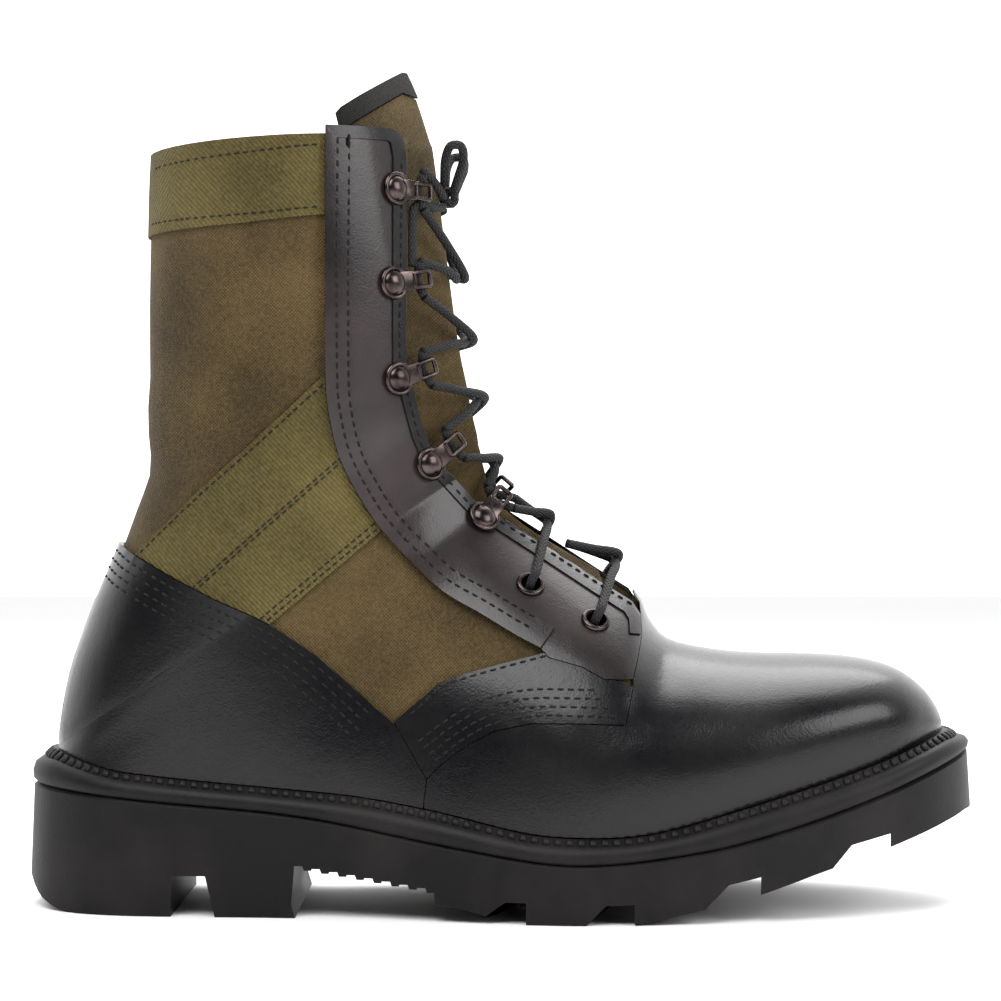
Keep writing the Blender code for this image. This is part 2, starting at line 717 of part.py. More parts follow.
def plan_points(margin: float) -> list:
    """Plan of the sole beyond the feather line: (x, y) from the heel, lateral side first."""
    stations = []
    for i in range(PLAN_STEPS + 1):
        stations.append(-math.cos(math.pi * i / PLAN_STEPS) / 2)
    lateral = []
    medial = []
    for share in stations:
        x = lx(share)
        middle = feather_centre(x)
        half = feather_half(x)
        lateral.append(Vector((x, middle - half)))
        medial.append(Vector((x, middle + half)))
    ring = lateral + medial[-2:0:-1]
    count = len(ring)
    moved = []
    for i in range(count):
        along = (ring[(i + 1) % count] - ring[i - 1]).normalized()
        out = Vector((along.y, -along.x))
        lead = END_MARGIN - SIDE_MARGIN
        reach = margin * (1 + lead / SIDE_MARGIN * out.x ** 2)
        moved.append(ring[i] + out * reach)
    return moved


def plan_rings(mesh: bmesh.types.BMesh, levels: list) -> None:
    """Loft the plan through (margin, height function) levels, upwards, and close both ends."""
    rings = []
    for margin, height in levels:
        rings.append([mesh.verts.new((p.x, p.y, height(p.x))) for p in plan_points(margin)])
    count = len(rings[0])
    for low, high in zip(rings, rings[1:]):
        for i in range(count):
            k = (i + 1) % count
            mesh.faces.new((low[i], low[k], high[k], high[i]))
    for ring, upwards in ((rings[0], False), (rings[-1], True)):
        for i in range(PLAN_STEPS):
            near = (ring[i], ring[i + 1])
            far = (ring[(count - i - 1) % count], ring[(count - i) % count])
            face = []
            for vert in near + far:
                if vert not in face:
                    face.append(vert)
            mesh.faces.new(face if upwards else face[::-1])
    bmesh.ops.triangulate(mesh, faces=mesh.faces)


def sole_top(x: float) -> float:
    """Height of the line between the outsole and the welt."""
    return SOLE_RISE * hermite([row.z for row in SOLE_TOP], [row.x for row in SOLE_TOP], x / LENGTH)


def tread_low(x: float) -> float:
    """Lowest height of the lugs: flat at the heel and the ball, rising to the toe."""
    height = hermite([row.z for row in TREAD_LOW], [row.x for row in TREAD_LOW], x / LENGTH)
    return SOLE_RISE * max(height, 0.0)


def sole_outline(shares: list) -> list:
    """Side-view outline of the sole in metres."""
    return [(lx(x), SOLE_RISE * z) for x, z in shares]


def waist_outline() -> list:
    """Side view of what the ribbed waist takes out of the sole."""
    points = sole_outline([(-0.2265, -0.10), (-0.2265, 0.0), (-0.2310, 0.082)])
    start = -0.2275
    pitch = (-0.0727 - start) / WAIST_RIBS
    for i in range(WAIST_RIBS):
        share = i / (WAIST_RIBS - 1)
        level = SOLE_RISE * (0.320 - 0.115 * share)
        x = lx(start + pitch * i)
        points += [(x, level), (x + lx(pitch) * 0.45, level)]
        points += [(x + lx(pitch) * 0.55, level - RIB_DEPTH), (x + lx(pitch) * 0.95, level - RIB_DEPTH)]
    return points + sole_outline([(-0.0727, -0.10)])


def channel_outline() -> list:
    """Side view of the shallow channel along the middle of the tread."""
    shares = [-0.120 + 0.04 * i for i in range(14)]
    top = [(lx(x), tread_low(lx(x)) + CHANNEL_DEPTH) for x in shares]
    low = -CHANNEL_DEPTH
    return top + [(top[-1][0], low), (top[0][0], low)]


def build_outsole(shop: Shop) -> bpy.types.Object:
    """The rubber sole with its heel, notch, waist and slanting lugs."""
    mesh = bmesh.new()
    levels = [
        (SIDE_MARGIN + SOLE_FLARE, tread_low),
        (SIDE_MARGIN, lambda x: sole_top(x) - CLEAR - SOLE_CHAMFER),
        (SIDE_MARGIN - SOLE_CHAMFER, lambda x: sole_top(x) - CLEAR),
    ]
    plan_rings(mesh, levels)
    sole = shop.solid("outsole", "sole_rubber", mesh)
    reach = LAST_WIDTH
    cuts = [("heel_notch", sole_outline(HEEL_NOTCH), 0.0), ("waist", waist_outline(), 0.0)]
    for i, shares in enumerate(LUG_GROOVES):
        cuts.append((f"groove_{i}", sole_outline(shares), LUG_SLANT))
    for name, outline, slant in cuts:
        if slant:
            lateral = prism(outline, GROOVE_LAP, -reach, slant)
            medial = prism(outline, -GROOVE_LAP, reach, slant)
            shop.cut(sole, shop.cutter(name + "_lateral", lateral), "DIFFERENCE")
            shop.cut(sole, shop.cutter(name + "_medial", medial), "DIFFERENCE")
        else:
            shop.cut(sole, shop.cutter(name, prism(outline, -reach, reach)), "DIFFERENCE")
    channel = prism(channel_outline(), -CHANNEL_WIDTH / 2, CHANNEL_WIDTH / 2)
    shop.cut(sole, shop.cutter("channel", channel), "DIFFERENCE")
    return sole


def build_welt(shop: Shop) -> bpy.types.Object:
    """The slab above the outsole, with its rounded band and its sloping top edge."""
    def between(share: float) -> callable:
        return lambda x: sole_top(x) + (feather_z(x) - CLEAR - sole_top(x)) * share

    mesh = bmesh.new()
    levels = [(SIDE_MARGIN * reach, between(share)) for reach, share in WELT_PROFILE]
    plan_rings(mesh, levels)
    welt = shop.solid("welt", "sole_rubber", mesh)
    shop.smooth(welt, 50)
    return welt


def build_insole(shop: Shop) -> bpy.types.Object:
    """The plate inside the upper, on the welt slab."""
    mesh = bmesh.new()
    edge = -(WALL + INSOLE_GAP)
    levels = [
        (edge, lambda x: feather_z(x) + CLEAR),
        (edge, lambda x: feather_z(x) + CLEAR + INSOLE),
    ]
    plan_rings(mesh, levels)
    return shop.solid("insole", "insole_fabric", mesh)


def tongue_offset(form: LastForm, row: int, column: int) -> float:
    """How far the tongue's outer face lies from the last: under the facings, out at the ridge."""
    off_ridge = abs(column - form.columns // 2)
    shaft = min(max((form.places[row] - TONGUE_NARROW) / (TONGUE_WIDE - TONGUE_NARROW), 0.0), 1.0)
    crown = INSTEP_CROWN + (SHAFT_CROWN - INSTEP_CROWN) * shaft
    bulge = max(0.0, 1 - off_ridge / crown)
    lift = bulge * bulge * (3 - 2 * bulge)
    under = -(WALL + TONGUE_GAP)
    if form.places[row] < TONGUE_FREE:
        lift = 0.0
    return under + lift * (TONGUE_LIFT - under)


def keeps_row(place: float) -> bool:
    """Thin out the crowded sections behind the heel, where the ridge hardly moves."""
    return not HEEL_CROWD[0] < place < HEEL_CROWD[1] or place % 2 == 0


def tongue_sheet(form: LastForm, proud: float) -> bmesh.types.BMesh:
    """A thick sheet under the throat, from the instep to above the collar."""
    middle = form.columns // 2
    first = form.places.index(TONGUE_START)
    rows = [k for k in range(first, len(form.rows)) if keeps_row(form.places[k])]
    columns = range(middle - TONGUE_COLUMNS, middle + TONGUE_COLUMNS + 1)
    mesh = bmesh.new()
    grids = []
    for depth in (proud, -TONGUE - proud):
        grid = []
        for row in rows:
            line = []
            for column in columns:
                number = form.rows[row][column]
                lies = tongue_offset(form, row, column) + depth
                line.append(mesh.verts.new(form.offset(number, lies, False)))
            grid.append(line)
        grids.append(grid)
    top, under = grids
    height = len(top)
    width = len(top[0])
    for i in range(height - 1):
        for j in range(width - 1):
            mesh.faces.new((top[i][j], top[i][j + 1], top[i + 1][j + 1], top[i + 1][j]))
            mesh.faces.new((under[i][j], under[i + 1][j], under[i + 1][j + 1], under[i][j + 1]))
    for j in range(width - 1):
        mesh.faces.new((top[0][j + 1], top[0][j], under[0][j], under[0][j + 1]))
        last = height - 1
        mesh.faces.new((top[last][j], top[last][j + 1], under[last][j + 1], under[last][j]))
    for i in range(height - 1):
        mesh.faces.new((top[i][0], top[i + 1][0], under[i + 1][0], under[i][0]))
        end = width - 1
        mesh.faces.new((top[i + 1][end], top[i][end], under[i][end], under[i + 1][end]))
    bmesh.ops.triangulate(mesh, faces=mesh.faces)
    return mesh


def build_tongue(shop: Shop, form: LastForm) -> None:
    """The canvas tongue, with the dark binding over its top edge."""
    reach = LAST_WIDTH
    tongue = shop.solid("tongue", "olive_canvas", tongue_sheet(form, 0.0))
    body = prism(outline_at(TONGUE_BODY), -reach, reach)
    shop.cut(tongue, shop.cutter("tongue_body", body), "INTERSECT")
    shop.smooth(tongue, 40)
    binding = shop.solid("tongue_binding", "binding_tape", tongue_sheet(form, BINDING))
    band = prism(outline_at(TONGUE_BAND), -reach, reach)
    shop.cut(binding, shop.cutter("tongue_band", band), "INTERSECT")
    shop.smooth(binding, 40)


class Fastener(NamedTuple):
    """A hook or an eyelet on the facing."""

    x: float     # share of LENGTH
    z: float     # share of UPPER_RISE above the heel's feather line
    turn: float  # degrees that a hook points up from straight ahead


HOOKS = [
    Fastener(-0.124, 0.934, 0), Fastener(-0.126, 0.777, 7), Fastener(-0.120, 0.619, 15),
    Fastener(-0.085, 0.477, 34), Fastener(-0.025, 0.381, 50),
]
EYELETS = [Fastener(0.030, 0.269, 0), Fastener(0.102, 0.210, 0)]


def frame_of(form: LastForm, side: float, fastener: Fastener) -> tuple:
    """Seat of a fastener on the upper, with its outward, forward and sideways directions."""
    raised = THROAT_RAISE if side > 0 and fastener.z < HIGH_ON_SHAFT else 0.0
    seat, normal = form.hit(side, lx(fastener.x), uz(fastener.z) + raised)
    turn = math.radians(fastener.turn)
    ahead = Vector((math.cos(turn), 0, math.sin(turn)))
    ahead = (ahead - normal * ahead.dot(normal)).normalized()
    return seat, normal, ahead, normal.cross(ahead)


def hollow_at(form: LastForm, seat: Vector, normal: Vector, ahead: Vector) -> float:
    """How far the surface rises around a hook's rivet, where the upper is hollow."""
    across = normal.cross(ahead)
    rise = 0.0
    for i in range(HOOK_STEPS):
        turn = 2 * math.pi * i / HOOK_STEPS
        rim = seat + (ahead * math.cos(turn) + across * math.sin(turn)) * HOOK_RADIUS
        near, out, _, _ = form.tree.find_nearest(rim)
        rise = max(rise, (near - rim).dot(normal) / max(out.dot(normal), 0.5))
    return rise


def placed(mesh: bmesh.types.BMesh, seat: Vector, normal: Vector, ahead: Vector) -> None:
    """Turn a mesh made around the origin, +Z out and +X ahead, onto its seat."""
    across = normal.cross(ahead)
    for vert in mesh.verts:
        spot = vert.co.copy()
        vert.co = seat + ahead * spot.x + across * spot.y + normal * spot.z


def turned(profile: list, steps: int) -> bmesh.types.BMesh:
    """Turn a closed (radius, height) profile around Z."""
    mesh = bmesh.new()
    rings = []
    for i in range(steps):
        turn = 2 * math.pi * i / steps
        rings.append([mesh.verts.new((r * math.cos(turn), r * math.sin(turn), z)) for r, z in profile])
    for i in range(steps):
        here = rings[i]
        ahead = rings[(i + 1) % steps]
        for j in range(len(profile)):
            k = (j + 1) % len(profile)
            mesh.faces.new((here[j], ahead[j], ahead[k], here[k]))
    bmesh.ops.recalc_face_normals(mesh, faces=mesh.faces)
    return mesh


def build_eyelet(shop: Shop, form: LastForm, side: float, spot: Fastener, name: str) -> bpy.types.Object:
    """A rolled metal eyelet with its barrel through the facing and the upper."""
    seat, normal, ahead, _ = frame_of(form, side, spot)
    high = FACING_LEATHER + CLEAR
    deep = -WALL - CLEAR
    barrel = EYELET_HOLE + EYELET_WALL
    profile = [
        (EYELET_HOLE, deep), (barrel, deep), (barrel, high), (EYELET_RADIUS, high),
        (EYELET_RADIUS - EYELET_WALL, high + EYELET_ROLL), (EYELET_HOLE, high + EYELET_ROLL),
    ]
    mesh = turned(profile, EYELET_STEPS)
    placed(mesh, seat, normal, ahead)
    made = shop.solid(name, "dark_metal", mesh)
    shop.smooth(made, 40)
    return made


def eyelet_drill(shop: Shop, form: LastForm, side: float, spot: Fastener, name: str) -> bpy.types.Object:
    """Cutter of the hole that an eyelet's barrel goes through."""
    seat, normal, ahead, _ = frame_of(form, side, spot)
    mesh = bmesh.new()
    radius = EYELET_HOLE + EYELET_WALL + CLEAR * 1.5
    deep = FACING_LEATHER + WALL + EYELET_RADIUS
    bmesh.ops.create_cone(mesh, cap_ends=True, segments=EYELET_STEPS, radius1=radius, radius2=radius,
                          depth=2 * deep)
    placed(mesh, seat, normal, ahead)
    return shop.cutter(name + "_drill", mesh)


ARM_WIDE = 1.1         # width of the hook's arm at the rivet, in rivet radii
ARM_START = 0.3        # and where it starts
# Corners of the hook's loop, as shares of its length and width.
LOOP_OUTSIDE = [(-0.0012, -0.5), (1.0, -0.5), (1.0, 0.5), (-0.0012, 0.5)]
LOOP_INSIDE = [(0.22, -0.28), (0.76, -0.28), (0.76, 0.28), (0.22, 0.28)]


def build_hook(shop: Shop, form: LastForm, side: float, spot: Fastener, name: str) -> bpy.types.Object:
    """A lace hook: domed rivet, flat arm and squared loop, joined."""
    seat, normal, ahead, across = frame_of(form, side, spot)
    base = seat + normal * (FACING_LEATHER + CLEAR + hollow_at(form, seat, normal, ahead))
    dome = bmesh.new()
    bmesh.ops.create_uvsphere(dome, u_segments=HOOK_STEPS, v_segments=HOOK_RINGS, radius=HOOK_RADIUS)
    for vert in list(dome.verts):
        if vert.co.z < -1e-6:
            dome.verts.remove(vert)
    for vert in dome.verts:
        vert.co.z *= HOOK_DOME / HOOK_RADIUS
    rim = [edge for edge in dome.edges if edge.is_boundary]
    bmesh.ops.contextual_create(dome, geom=rim)
    bmesh.ops.recalc_face_normals(dome, faces=dome.faces)
    placed(dome, base, normal, ahead)
    made = shop.solid(name, "dark_metal", dome)
    arm = bmesh.new()
    bmesh.ops.create_cube(arm, size=1.0)
    for vert in arm.verts:
        far = vert.co.x > 0
        wide = HOOK_LOOP_WIDE if far else HOOK_RADIUS * ARM_WIDE
        vert.co.x = HOOK_REACH - HOOK_LOOP_LONG if far else HOOK_RADIUS * ARM_START
        vert.co.y *= wide
        vert.co.z = vert.co.z * HOOK_THICK + HOOK_LIFT
    placed(arm, base, normal, ahead)
    shop.cut(made, shop.cutter(name + "_arm", arm), "UNION")
    loop = bmesh.new()
    skins = []
    for level in (-0.5, 0.5):
        for ring in (LOOP_OUTSIDE, LOOP_INSIDE):
            line = []
            for along, out in ring:
                x = HOOK_REACH - HOOK_LOOP_LONG + along * HOOK_LOOP_LONG
                line.append(loop.verts.new((x, out * HOOK_LOOP_WIDE, HOOK_LIFT + level * HOOK_WIRE)))
            skins.append(line)
    low_out, low_in, high_out, high_in = skins
    for i in range(4):
        k = (i + 1) % 4
        loop.faces.new((low_out[i], low_out[k], high_out[k], high_out[i]))
        loop.faces.new((low_in[k], low_in[i], high_in[i], high_in[k]))
        loop.faces.new((high_out[i], high_out[k], high_in[k], high_in[i]))
        loop.faces.new((low_out[k], low_out[i], low_in[i], low_in[k]))
    placed(loop, base, normal, ahead)
    shop.cut(made, shop.cutter(name + "_loop", loop), "UNION")
    return made


def smooth_line(points: list, step: float) -> list:
    """Points of a smooth curve through a route's own points, about a step apart."""
    places = [0.0]
    for a, b in zip(points, points[1:]):
        places.append(places[-1] + (b - a).length)
    count = max(2, round(places[-1] / step))
    line = []
    for i in range(count + 1):
        at = places[-1] * i / count
        line.append(Vector([hermite([p[k] for p in points], places, at) for k in range(3)]))
    return line


def tube(shop: Shop, name: str, points: list, radius: float) -> bpy.types.Object:
    """A length of lace along a route, as a closed mesh."""
    curve = bpy.data.curves.new(name, "CURVE")
    curve.dimensions = "3D"
    curve.bevel_depth = radius
    curve.bevel_resolution = 1
    curve.use_fill_caps = True
    spline = curve.splines.new("POLY")
    spline.points.add(len(points) - 1)
    for knot, place in zip(spline.points, points):
        knot.co = (*place, 1.0)
    holder = bpy.data.objects.new(name + "_curve", curve)
    shop.parts.objects.link(holder)
    seen = holder.evaluated_get(bpy.context.evaluated_depsgraph_get())
    data = bpy.data.meshes.new_from_object(seen)
    bpy.data.objects.remove(holder, do_unlink=True)
    mesh = bmesh.new()
    mesh.from_mesh(data)
    bmesh.ops.remove_doubles(mesh, verts=mesh.verts, dist=radius / 100)
    bmesh.ops.recalc_face_normals(mesh, faces=mesh.faces)
    made = shop.solid(name, "lace_cord", mesh)
    made.data.shade_smooth()
    return made


class Crossing(NamedTuple):
    """Where two strands cross over the ridge."""

    place: float   # section
    raised: float  # share of the facing's leather that it is lifted by


CROSSINGS = [
    Crossing(28.05, 0.0), Crossing(26.6, 0.0), Crossing(24.2, 0.0), Crossing(18.5, 0.3),
    Crossing(13.6, 1.3), Crossing(11.8, 1.5),
]


TUCK = 12.9   # section where the lowest crossing goes under the facings


def ridge_spot(place: float, proud: float, aside: float) -> Vector:
    """A point in front of the tongue's ridge at a section, with a step to one side."""
    here = slice_at(place)
    after = slice_at(place + 0.1)
    along = Vector((after.ridge_x - here.ridge_x, 0, after.ridge_z - here.ridge_z)).normalized()
    out = Vector((along.z, 0, -along.x))
    return Vector((here.ridge_x, here.ridge_y + aside, here.ridge_z)) + out * proud


def lace_start(form: LastForm, side: float, spot: Fastener, is_hook: bool, upwards: bool) -> list:
    """Where a lace strand leaves a hook, above or below its loop, or an eyelet's hole."""
    seat, normal, ahead, across = frame_of(form, side, spot)
    lift = FACING_LEATHER + CLEAR
    if not is_hook and upwards:
        over = lift + EYELET_ROLL + LACE / 2 + CLEAR * 2
        toward = Vector((0.35, -side, 0.35)) - normal * normal.dot(Vector((0.35, -side, 0.35)))
        toward.normalize()
        bend = [seat]
        for i in range(BEND_STEPS + 1):
            turn = math.pi / 2 * i / BEND_STEPS
            bend.append(seat + toward * LACE_BEND * (1 - math.cos(turn))
                        + normal * (over - LACE_BEND * (1 - math.sin(turn))))
        return bend
    if not is_hook:
        edge = THROAT_MIDDLE + side * (THROAT_HALF - LACE * 0.9)
        tucked = ridge_spot(TUCK, LACE * 0.5 + LACE_LIFT, 0.0)
        return [Vector((tucked.x, edge, tucked.z))]
    up = across * (-side if upwards else side)
    aside = up * (HOOK_LOOP_WIDE / 2 + LACE)
    return [seat + ahead * (HOOK_REACH - HOOK_LOOP_LONG * 0.5) + aside + normal * (lift + HOOK_LIFT)]


def build_crossings(shop: Shop, form: LastForm) -> None:
    """The lace between neighbouring rows: two strands that cross over the tongue's ridge."""
    stops = [(spot, True) for spot in HOOKS] + [(spot, False) for spot in EYELETS]
    for i, crossing in enumerate(CROSSINGS):
        made = []
        for side in (LATERAL, MEDIAL):
            over = LACE_OVER if side > 0 else 0.0
            over += crossing.raised * FACING_LEATHER
            middle = ridge_spot(crossing.place, LACE * 0.5 + LACE_LIFT + over, 0.0)
            low = lace_start(form, side, *stops[i + 1], True)
            high = lace_start(form, -side, *stops[i], False)
            rise = low[-1].lerp(middle, 0.55)
            fall = middle.lerp(high[-1], 0.5)
            rise += ridge_push(rise, form)
            fall += ridge_push(fall, form)
            line = smooth_line([low[-1], rise, middle, fall] + high, LACE * LACE_STEP)
            name = f"lace_crossing_{i + 1}" + ("" if side < 0 else "_strand")
            made.append(tube(shop, name, low[:-1] + line, LACE / 2))
        lateral, medial = made
        shop.parts.objects.unlink(medial)
        shop.cutters.objects.link(medial)
        medial.hide_render = True
        medial.display_type = "WIRE"
        shop.cut(lateral, medial, "UNION")


def ridge_push(point: Vector, form: LastForm) -> Vector:
    """How far a lace point is pushed out to lie clear of the last's surface."""
    place, normal, _, distance = form.tree.find_nearest(point)
    if normal.dot(point - place) < 0:
        distance = -distance
    need = FACING_LEATHER + LACE / 2 + LACE_LIFT
    return normal * max(need - distance, 0.0)


KNOT = Vector((-0.0172, 0.0, 0.2320))
KNOT_HALF = 0.0034
KNOT_RADIUS = 0.0030
# Routes of the free lace on the lateral side, from the knot's middle, mirrored for the other
BOW_LOOP = [
    (0.0016, -0.0056, 0.0024), (0.0030, -0.0090, 0.0062), (0.0046, -0.0132, 0.0112),
    (0.0038, -0.0168, 0.0150), (0.0006, -0.0172, 0.0150), (-0.0012, -0.0135, 0.0112),
    (-0.0016, -0.0092, 0.0068), (-0.0017, -0.0056, 0.0036),
]
LACE_END = [
    (-0.0008, -0.0056, -0.0036), (-0.0053, -0.0120, -0.0045), (-0.0088, -0.0168, -0.0040),
    (-0.0114, -0.0189, -0.0055), (-0.0119, -0.0196, -0.0100), (-0.0121, -0.0201, -0.0170),
    (-0.0122, -0.0204, -0.0245),
]


def free_route(offsets: list, side: float, form: LastForm, lies: bool) -> list:
    """A free lace route on one side, clear of the tongue, or lying on it all along."""
    points = [KNOT + Vector((x, -side * y, z)) for x, y, z in offsets]
    moved = []
    for point in points:
        near, normal, _, distance = form.tree.find_nearest(point)
        away = distance if normal.dot(point - near) > 0 else -distance
        need = LACE / 2 + LACE_LIFT - away
        moved.append(point + normal * (need if lies else max(need, 0.0)))
    return moved


def build_bow(shop: Shop, form: LastForm) -> None:
    """The knot, two loops and two ends, and the strands that bring them from the top hooks."""
    ends = [KNOT + Vector((0, -KNOT_HALF, 0)), KNOT, KNOT + Vector((0, KNOT_HALF, 0))]
    tube(shop, "lace_knot", ends, KNOT_RADIUS)
    for side, name in ((LATERAL, "lateral"), (MEDIAL, "medial")):
        loop = free_route(BOW_LOOP, side, form, False)
        tube(shop, "bow_loop_" + name, smooth_line(loop, LACE * 1.1), LACE / 2)
        hanging = free_route(LACE_END, side, form, True)
        tube(shop, "lace_end_" + name, smooth_line(hanging, LACE * 2.0), LACE / 2)
        hook = lace_start(form, side, HOOKS[0], True, True)[0] + Vector((0, 0, LACE / 2))
        seat = KNOT + Vector((-0.0022, side * 0.0056, -0.0004))
        middle = hook.lerp(seat, 0.5)
        middle += ridge_push(middle, form)
        tube(shop, "lace_top_" + name, smooth_line([hook, middle, seat], LACE * 1.8), LACE / 2)


def centre_on_sole(shop: Shop) -> None:
    """Move everything so that the sole's length and width are centred on the origin."""
    plan = plan_points(SIDE_MARGIN + SOLE_FLARE)
    middle_x = (min(p.x for p in plan) + max(p.x for p in plan)) / 2
    middle_y = (min(p.y for p in plan) + max(p.y for p in plan)) / 2
    for piece in list(shop.parts.objects) + list(shop.cutters.objects):
        piece.location = (-middle_x, -middle_y, 0.0)


def main() -> None:
    """Build every piece of the boot."""
    clear_scene()
    shop = Shop()
    form = LastForm()
    build_outsole(shop)
    build_welt(shop)
    build_insole(shop)
    upper = build_upper(shop, form)
    build_tongue(shop, form)
    quarter = quarter_outline()
    counter = counter_outline()
    strip = strip_outline()
    facings = {}
    for side, name, raised in ((LATERAL, "lateral", 0.0), (MEDIAL, "medial", THROAT_RAISE)):
        facing = facing_outline(raised)
        facings[name] = facing
        made = build_panel(shop, form, Panel("eyestay_" + name, "facing_leather", facing,
                                             FACING_LEATHER, side, LAST_ROW, []))
        shop.cut(made, throat_slot(shop, "eyestay_" + name), "DIFFERENCE")
        for i, spot in enumerate(EYELETS):
            drill = eyelet_drill(shop, form, side, spot, f"eyelet_{name}_{i + 1}")
            shop.cut(made, drill, "DIFFERENCE")
            shop.cut(upper, drill, "DIFFERENCE")
            build_eyelet(shop, form, side, spot, f"eyelet_{name}_{i + 1}")
        for i, spot in enumerate(HOOKS):
            build_hook(shop, form, side, spot, f"hook_{name}_{i + 1}")
        build_panel(shop, form, Panel("vamp_strip_" + name, "black_leather", strip, COUNTER_LEATHER,
                                      side, LAST_ROW, [facing, counter]))
        build_panel(shop, form, Panel("ankle_webbing_" + name, "olive_webbing", ankle_outline(), WEBBING,
                                      side, LAST_ROW, [facing, counter]))
    build_panel(shop, form, Panel("heel_counter", "black_leather", counter, COUNTER_LEATHER,
                                  0, LAST_ROW, []))
    build_panel(shop, form, Panel("collar_webbing", "olive_webbing", collar_outline(), WEBBING, 0, COLLAR,
                                  [facings["lateral"]]))
    vamp = build_panel(shop, form, Panel("vamp", "black_leather", vamp_outline(), VAMP_LEATHER, 0, LAST_ROW,
                                         [quarter, facings["lateral"], facings["medial"]]))
    shop.cut(vamp, throat_slot(shop, "vamp"), "DIFFERENCE")
    build_crossings(shop, form)
    build_bow(shop, form)
    centre_on_sole(shop)


main()
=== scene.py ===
"""Visual model of the jungle boot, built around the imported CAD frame.

Metres, +Z up. The toe points along +X and the outer (lateral) side along -Y.
"""

import logging
import math
from dataclasses import dataclass
from enum import Enum
from typing import Callable, NamedTuple

import bmesh
import bpy
from bmesh.types import BMesh, BMVert
from bpy.types import Material, NodeSocket, Object
from mathutils import Matrix, Vector
from mathutils.bvhtree import BVHTree
from mathutils.interpolate import poly_3d_calc


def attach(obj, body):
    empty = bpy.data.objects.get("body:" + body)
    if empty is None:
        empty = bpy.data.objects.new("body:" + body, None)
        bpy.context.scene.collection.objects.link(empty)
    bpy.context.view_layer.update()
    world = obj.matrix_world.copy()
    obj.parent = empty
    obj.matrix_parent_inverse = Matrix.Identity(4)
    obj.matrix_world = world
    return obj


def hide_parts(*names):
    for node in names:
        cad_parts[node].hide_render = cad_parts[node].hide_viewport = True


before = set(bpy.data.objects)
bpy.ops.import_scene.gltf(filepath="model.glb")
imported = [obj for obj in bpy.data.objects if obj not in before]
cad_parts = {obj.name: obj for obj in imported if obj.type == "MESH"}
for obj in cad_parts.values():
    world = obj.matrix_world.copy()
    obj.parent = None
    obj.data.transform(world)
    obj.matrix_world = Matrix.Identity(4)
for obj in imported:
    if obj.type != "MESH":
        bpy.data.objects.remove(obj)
LOG = logging.getLogger("boot")

FRAME_Y = 0.001226     # the last's middle line lies this far from the frame's
ROW_STEPS = 3          # mesh rows for each row of the table of sections
BORDER_WIDTH = 0.0076  # raised strip along the facing's outer edge
BORDER_HIGH = 0.0009   # its face above the facing's
BORDER_LAP = 0.0001    # its foot above the facing's face
EDGE_WIDTH = 0.0040    # dark strip along the facing's inner edge and top
EDGE_HIGH = 0.0006
EDGE_LAP = 0.00005
FACING_OUTER_CORNERS = (19, 29)  # first and last corner of the facing's outer edge
EDGE_CORNERS = 14      # corners of its inner edge
TOOTH_PITCH = 0.0037   # teeth along the welt
TOOTH_SHARE = 0.62     # share of the pitch that a tooth takes
TOOTH_PROUD = 0.0007   # their height above the welt's slope
TOOTH_SHARES = (0.765, 1.0)  # its lower and upper end, as shares of the welt's height
TOOTH_FOOT = 0.64      # where its ends lie, as shares of the welt's reach
TOOTH_HEAD = 0.36
# Rings of a tooth: place along it, share of its width, share of its height.
TOOTH_RINGS = [(0.0, 0.80, 0.1), (0.12, 1.0, 0.85), (0.5, 1.0, 1.0), (0.85, 0.92, 0.9), (1.0, 0.55, 0.2)]
# Corners of a tooth's section: share of its half width, share of its height.
TOOTH_SECTION = [(-1.0, -0.4), (-0.9, 0.7), (-0.45, 1.0), (0.45, 1.0), (0.9, 0.7), (1.0, -0.4)]
# Rings of a stitch: place along it, share of the thread's radius, radii that it sinks.
STITCH_RINGS = [(-0.5, 0.45, 1.3), (-0.36, 0.95, 0.35), (0.0, 1.0, 0.0), (0.36, 0.95, 0.35), (0.5, 0.45, 1.3)]
STITCH_PROUD = 0.55    # radii that a stitch's middle lies above the surface
LACE_RISE = 0.0027     # upper strand above the lower one
LACE_TIGHT = 0.0001    # lace behind a hook above the leather
LACE_SEEN = 0.00148    # radius of the lace with its braid

LENGTH = 0.2887        # feather line, heel to toe
LAST_WIDTH = 0.098     # feather line across the ball
SOLE_RISE = 0.0512     # floor to the feather line at the back of the heel
UPPER_RISE = 0.1938    # feather line to the collar at the back
CLEAR = 0.0003         # between the faces of neighbouring pieces
WALL = 0.0020          # canvas and lining together
VAMP_LEATHER = 0.0014  # outer faces above the last
COUNTER_LEATHER = 0.0019
FACING_LEATHER = 0.0020
WEBBING = 0.0010
TONGUE = 0.0022        # thickness
BINDING = 0.0008       # how far the binding stands out from the tongue
HEM = 0.0002           # leather panels end this far above the feather line
UPPER_HEM = 0.0006     # and the upper itself
TONGUE_GAP = 0.0019    # between the tongue and the inside of the wall
TONGUE_LIFT = -0.0002  # height of the tongue at the ridge
END_MARGIN = 0.00965   # sole beyond the feather line at heel and toe
SIDE_MARGIN = 0.0070   # sole beyond the feather line at the sides
SOLE_FLARE = 0.0008    # how far the tread is wider than its top
SOLE_CHAMFER = 0.0009
LUG_SLANT = 0.22       # forward run of a groove for each metre across
GROOVE_LAP = 0.0013    # the two halves of a groove overlap past the middle
CHANNEL_WIDTH = 0.013
CHANNEL_DEPTH = 0.0045
WAIST_RIBS = 8
RIB_DEPTH = 0.0014
THROAT_RAISE = 0.0035  # the medial edge lies higher over the instep
THROAT_MIDDLE = 0.0040 # middle of the throat, to the medial side
THROAT_HALF = 0.0085   # half width of the slot over the instep
THROAT_FRONT = 0.1510  # share of LENGTH
EYELET_RADIUS = 0.0047
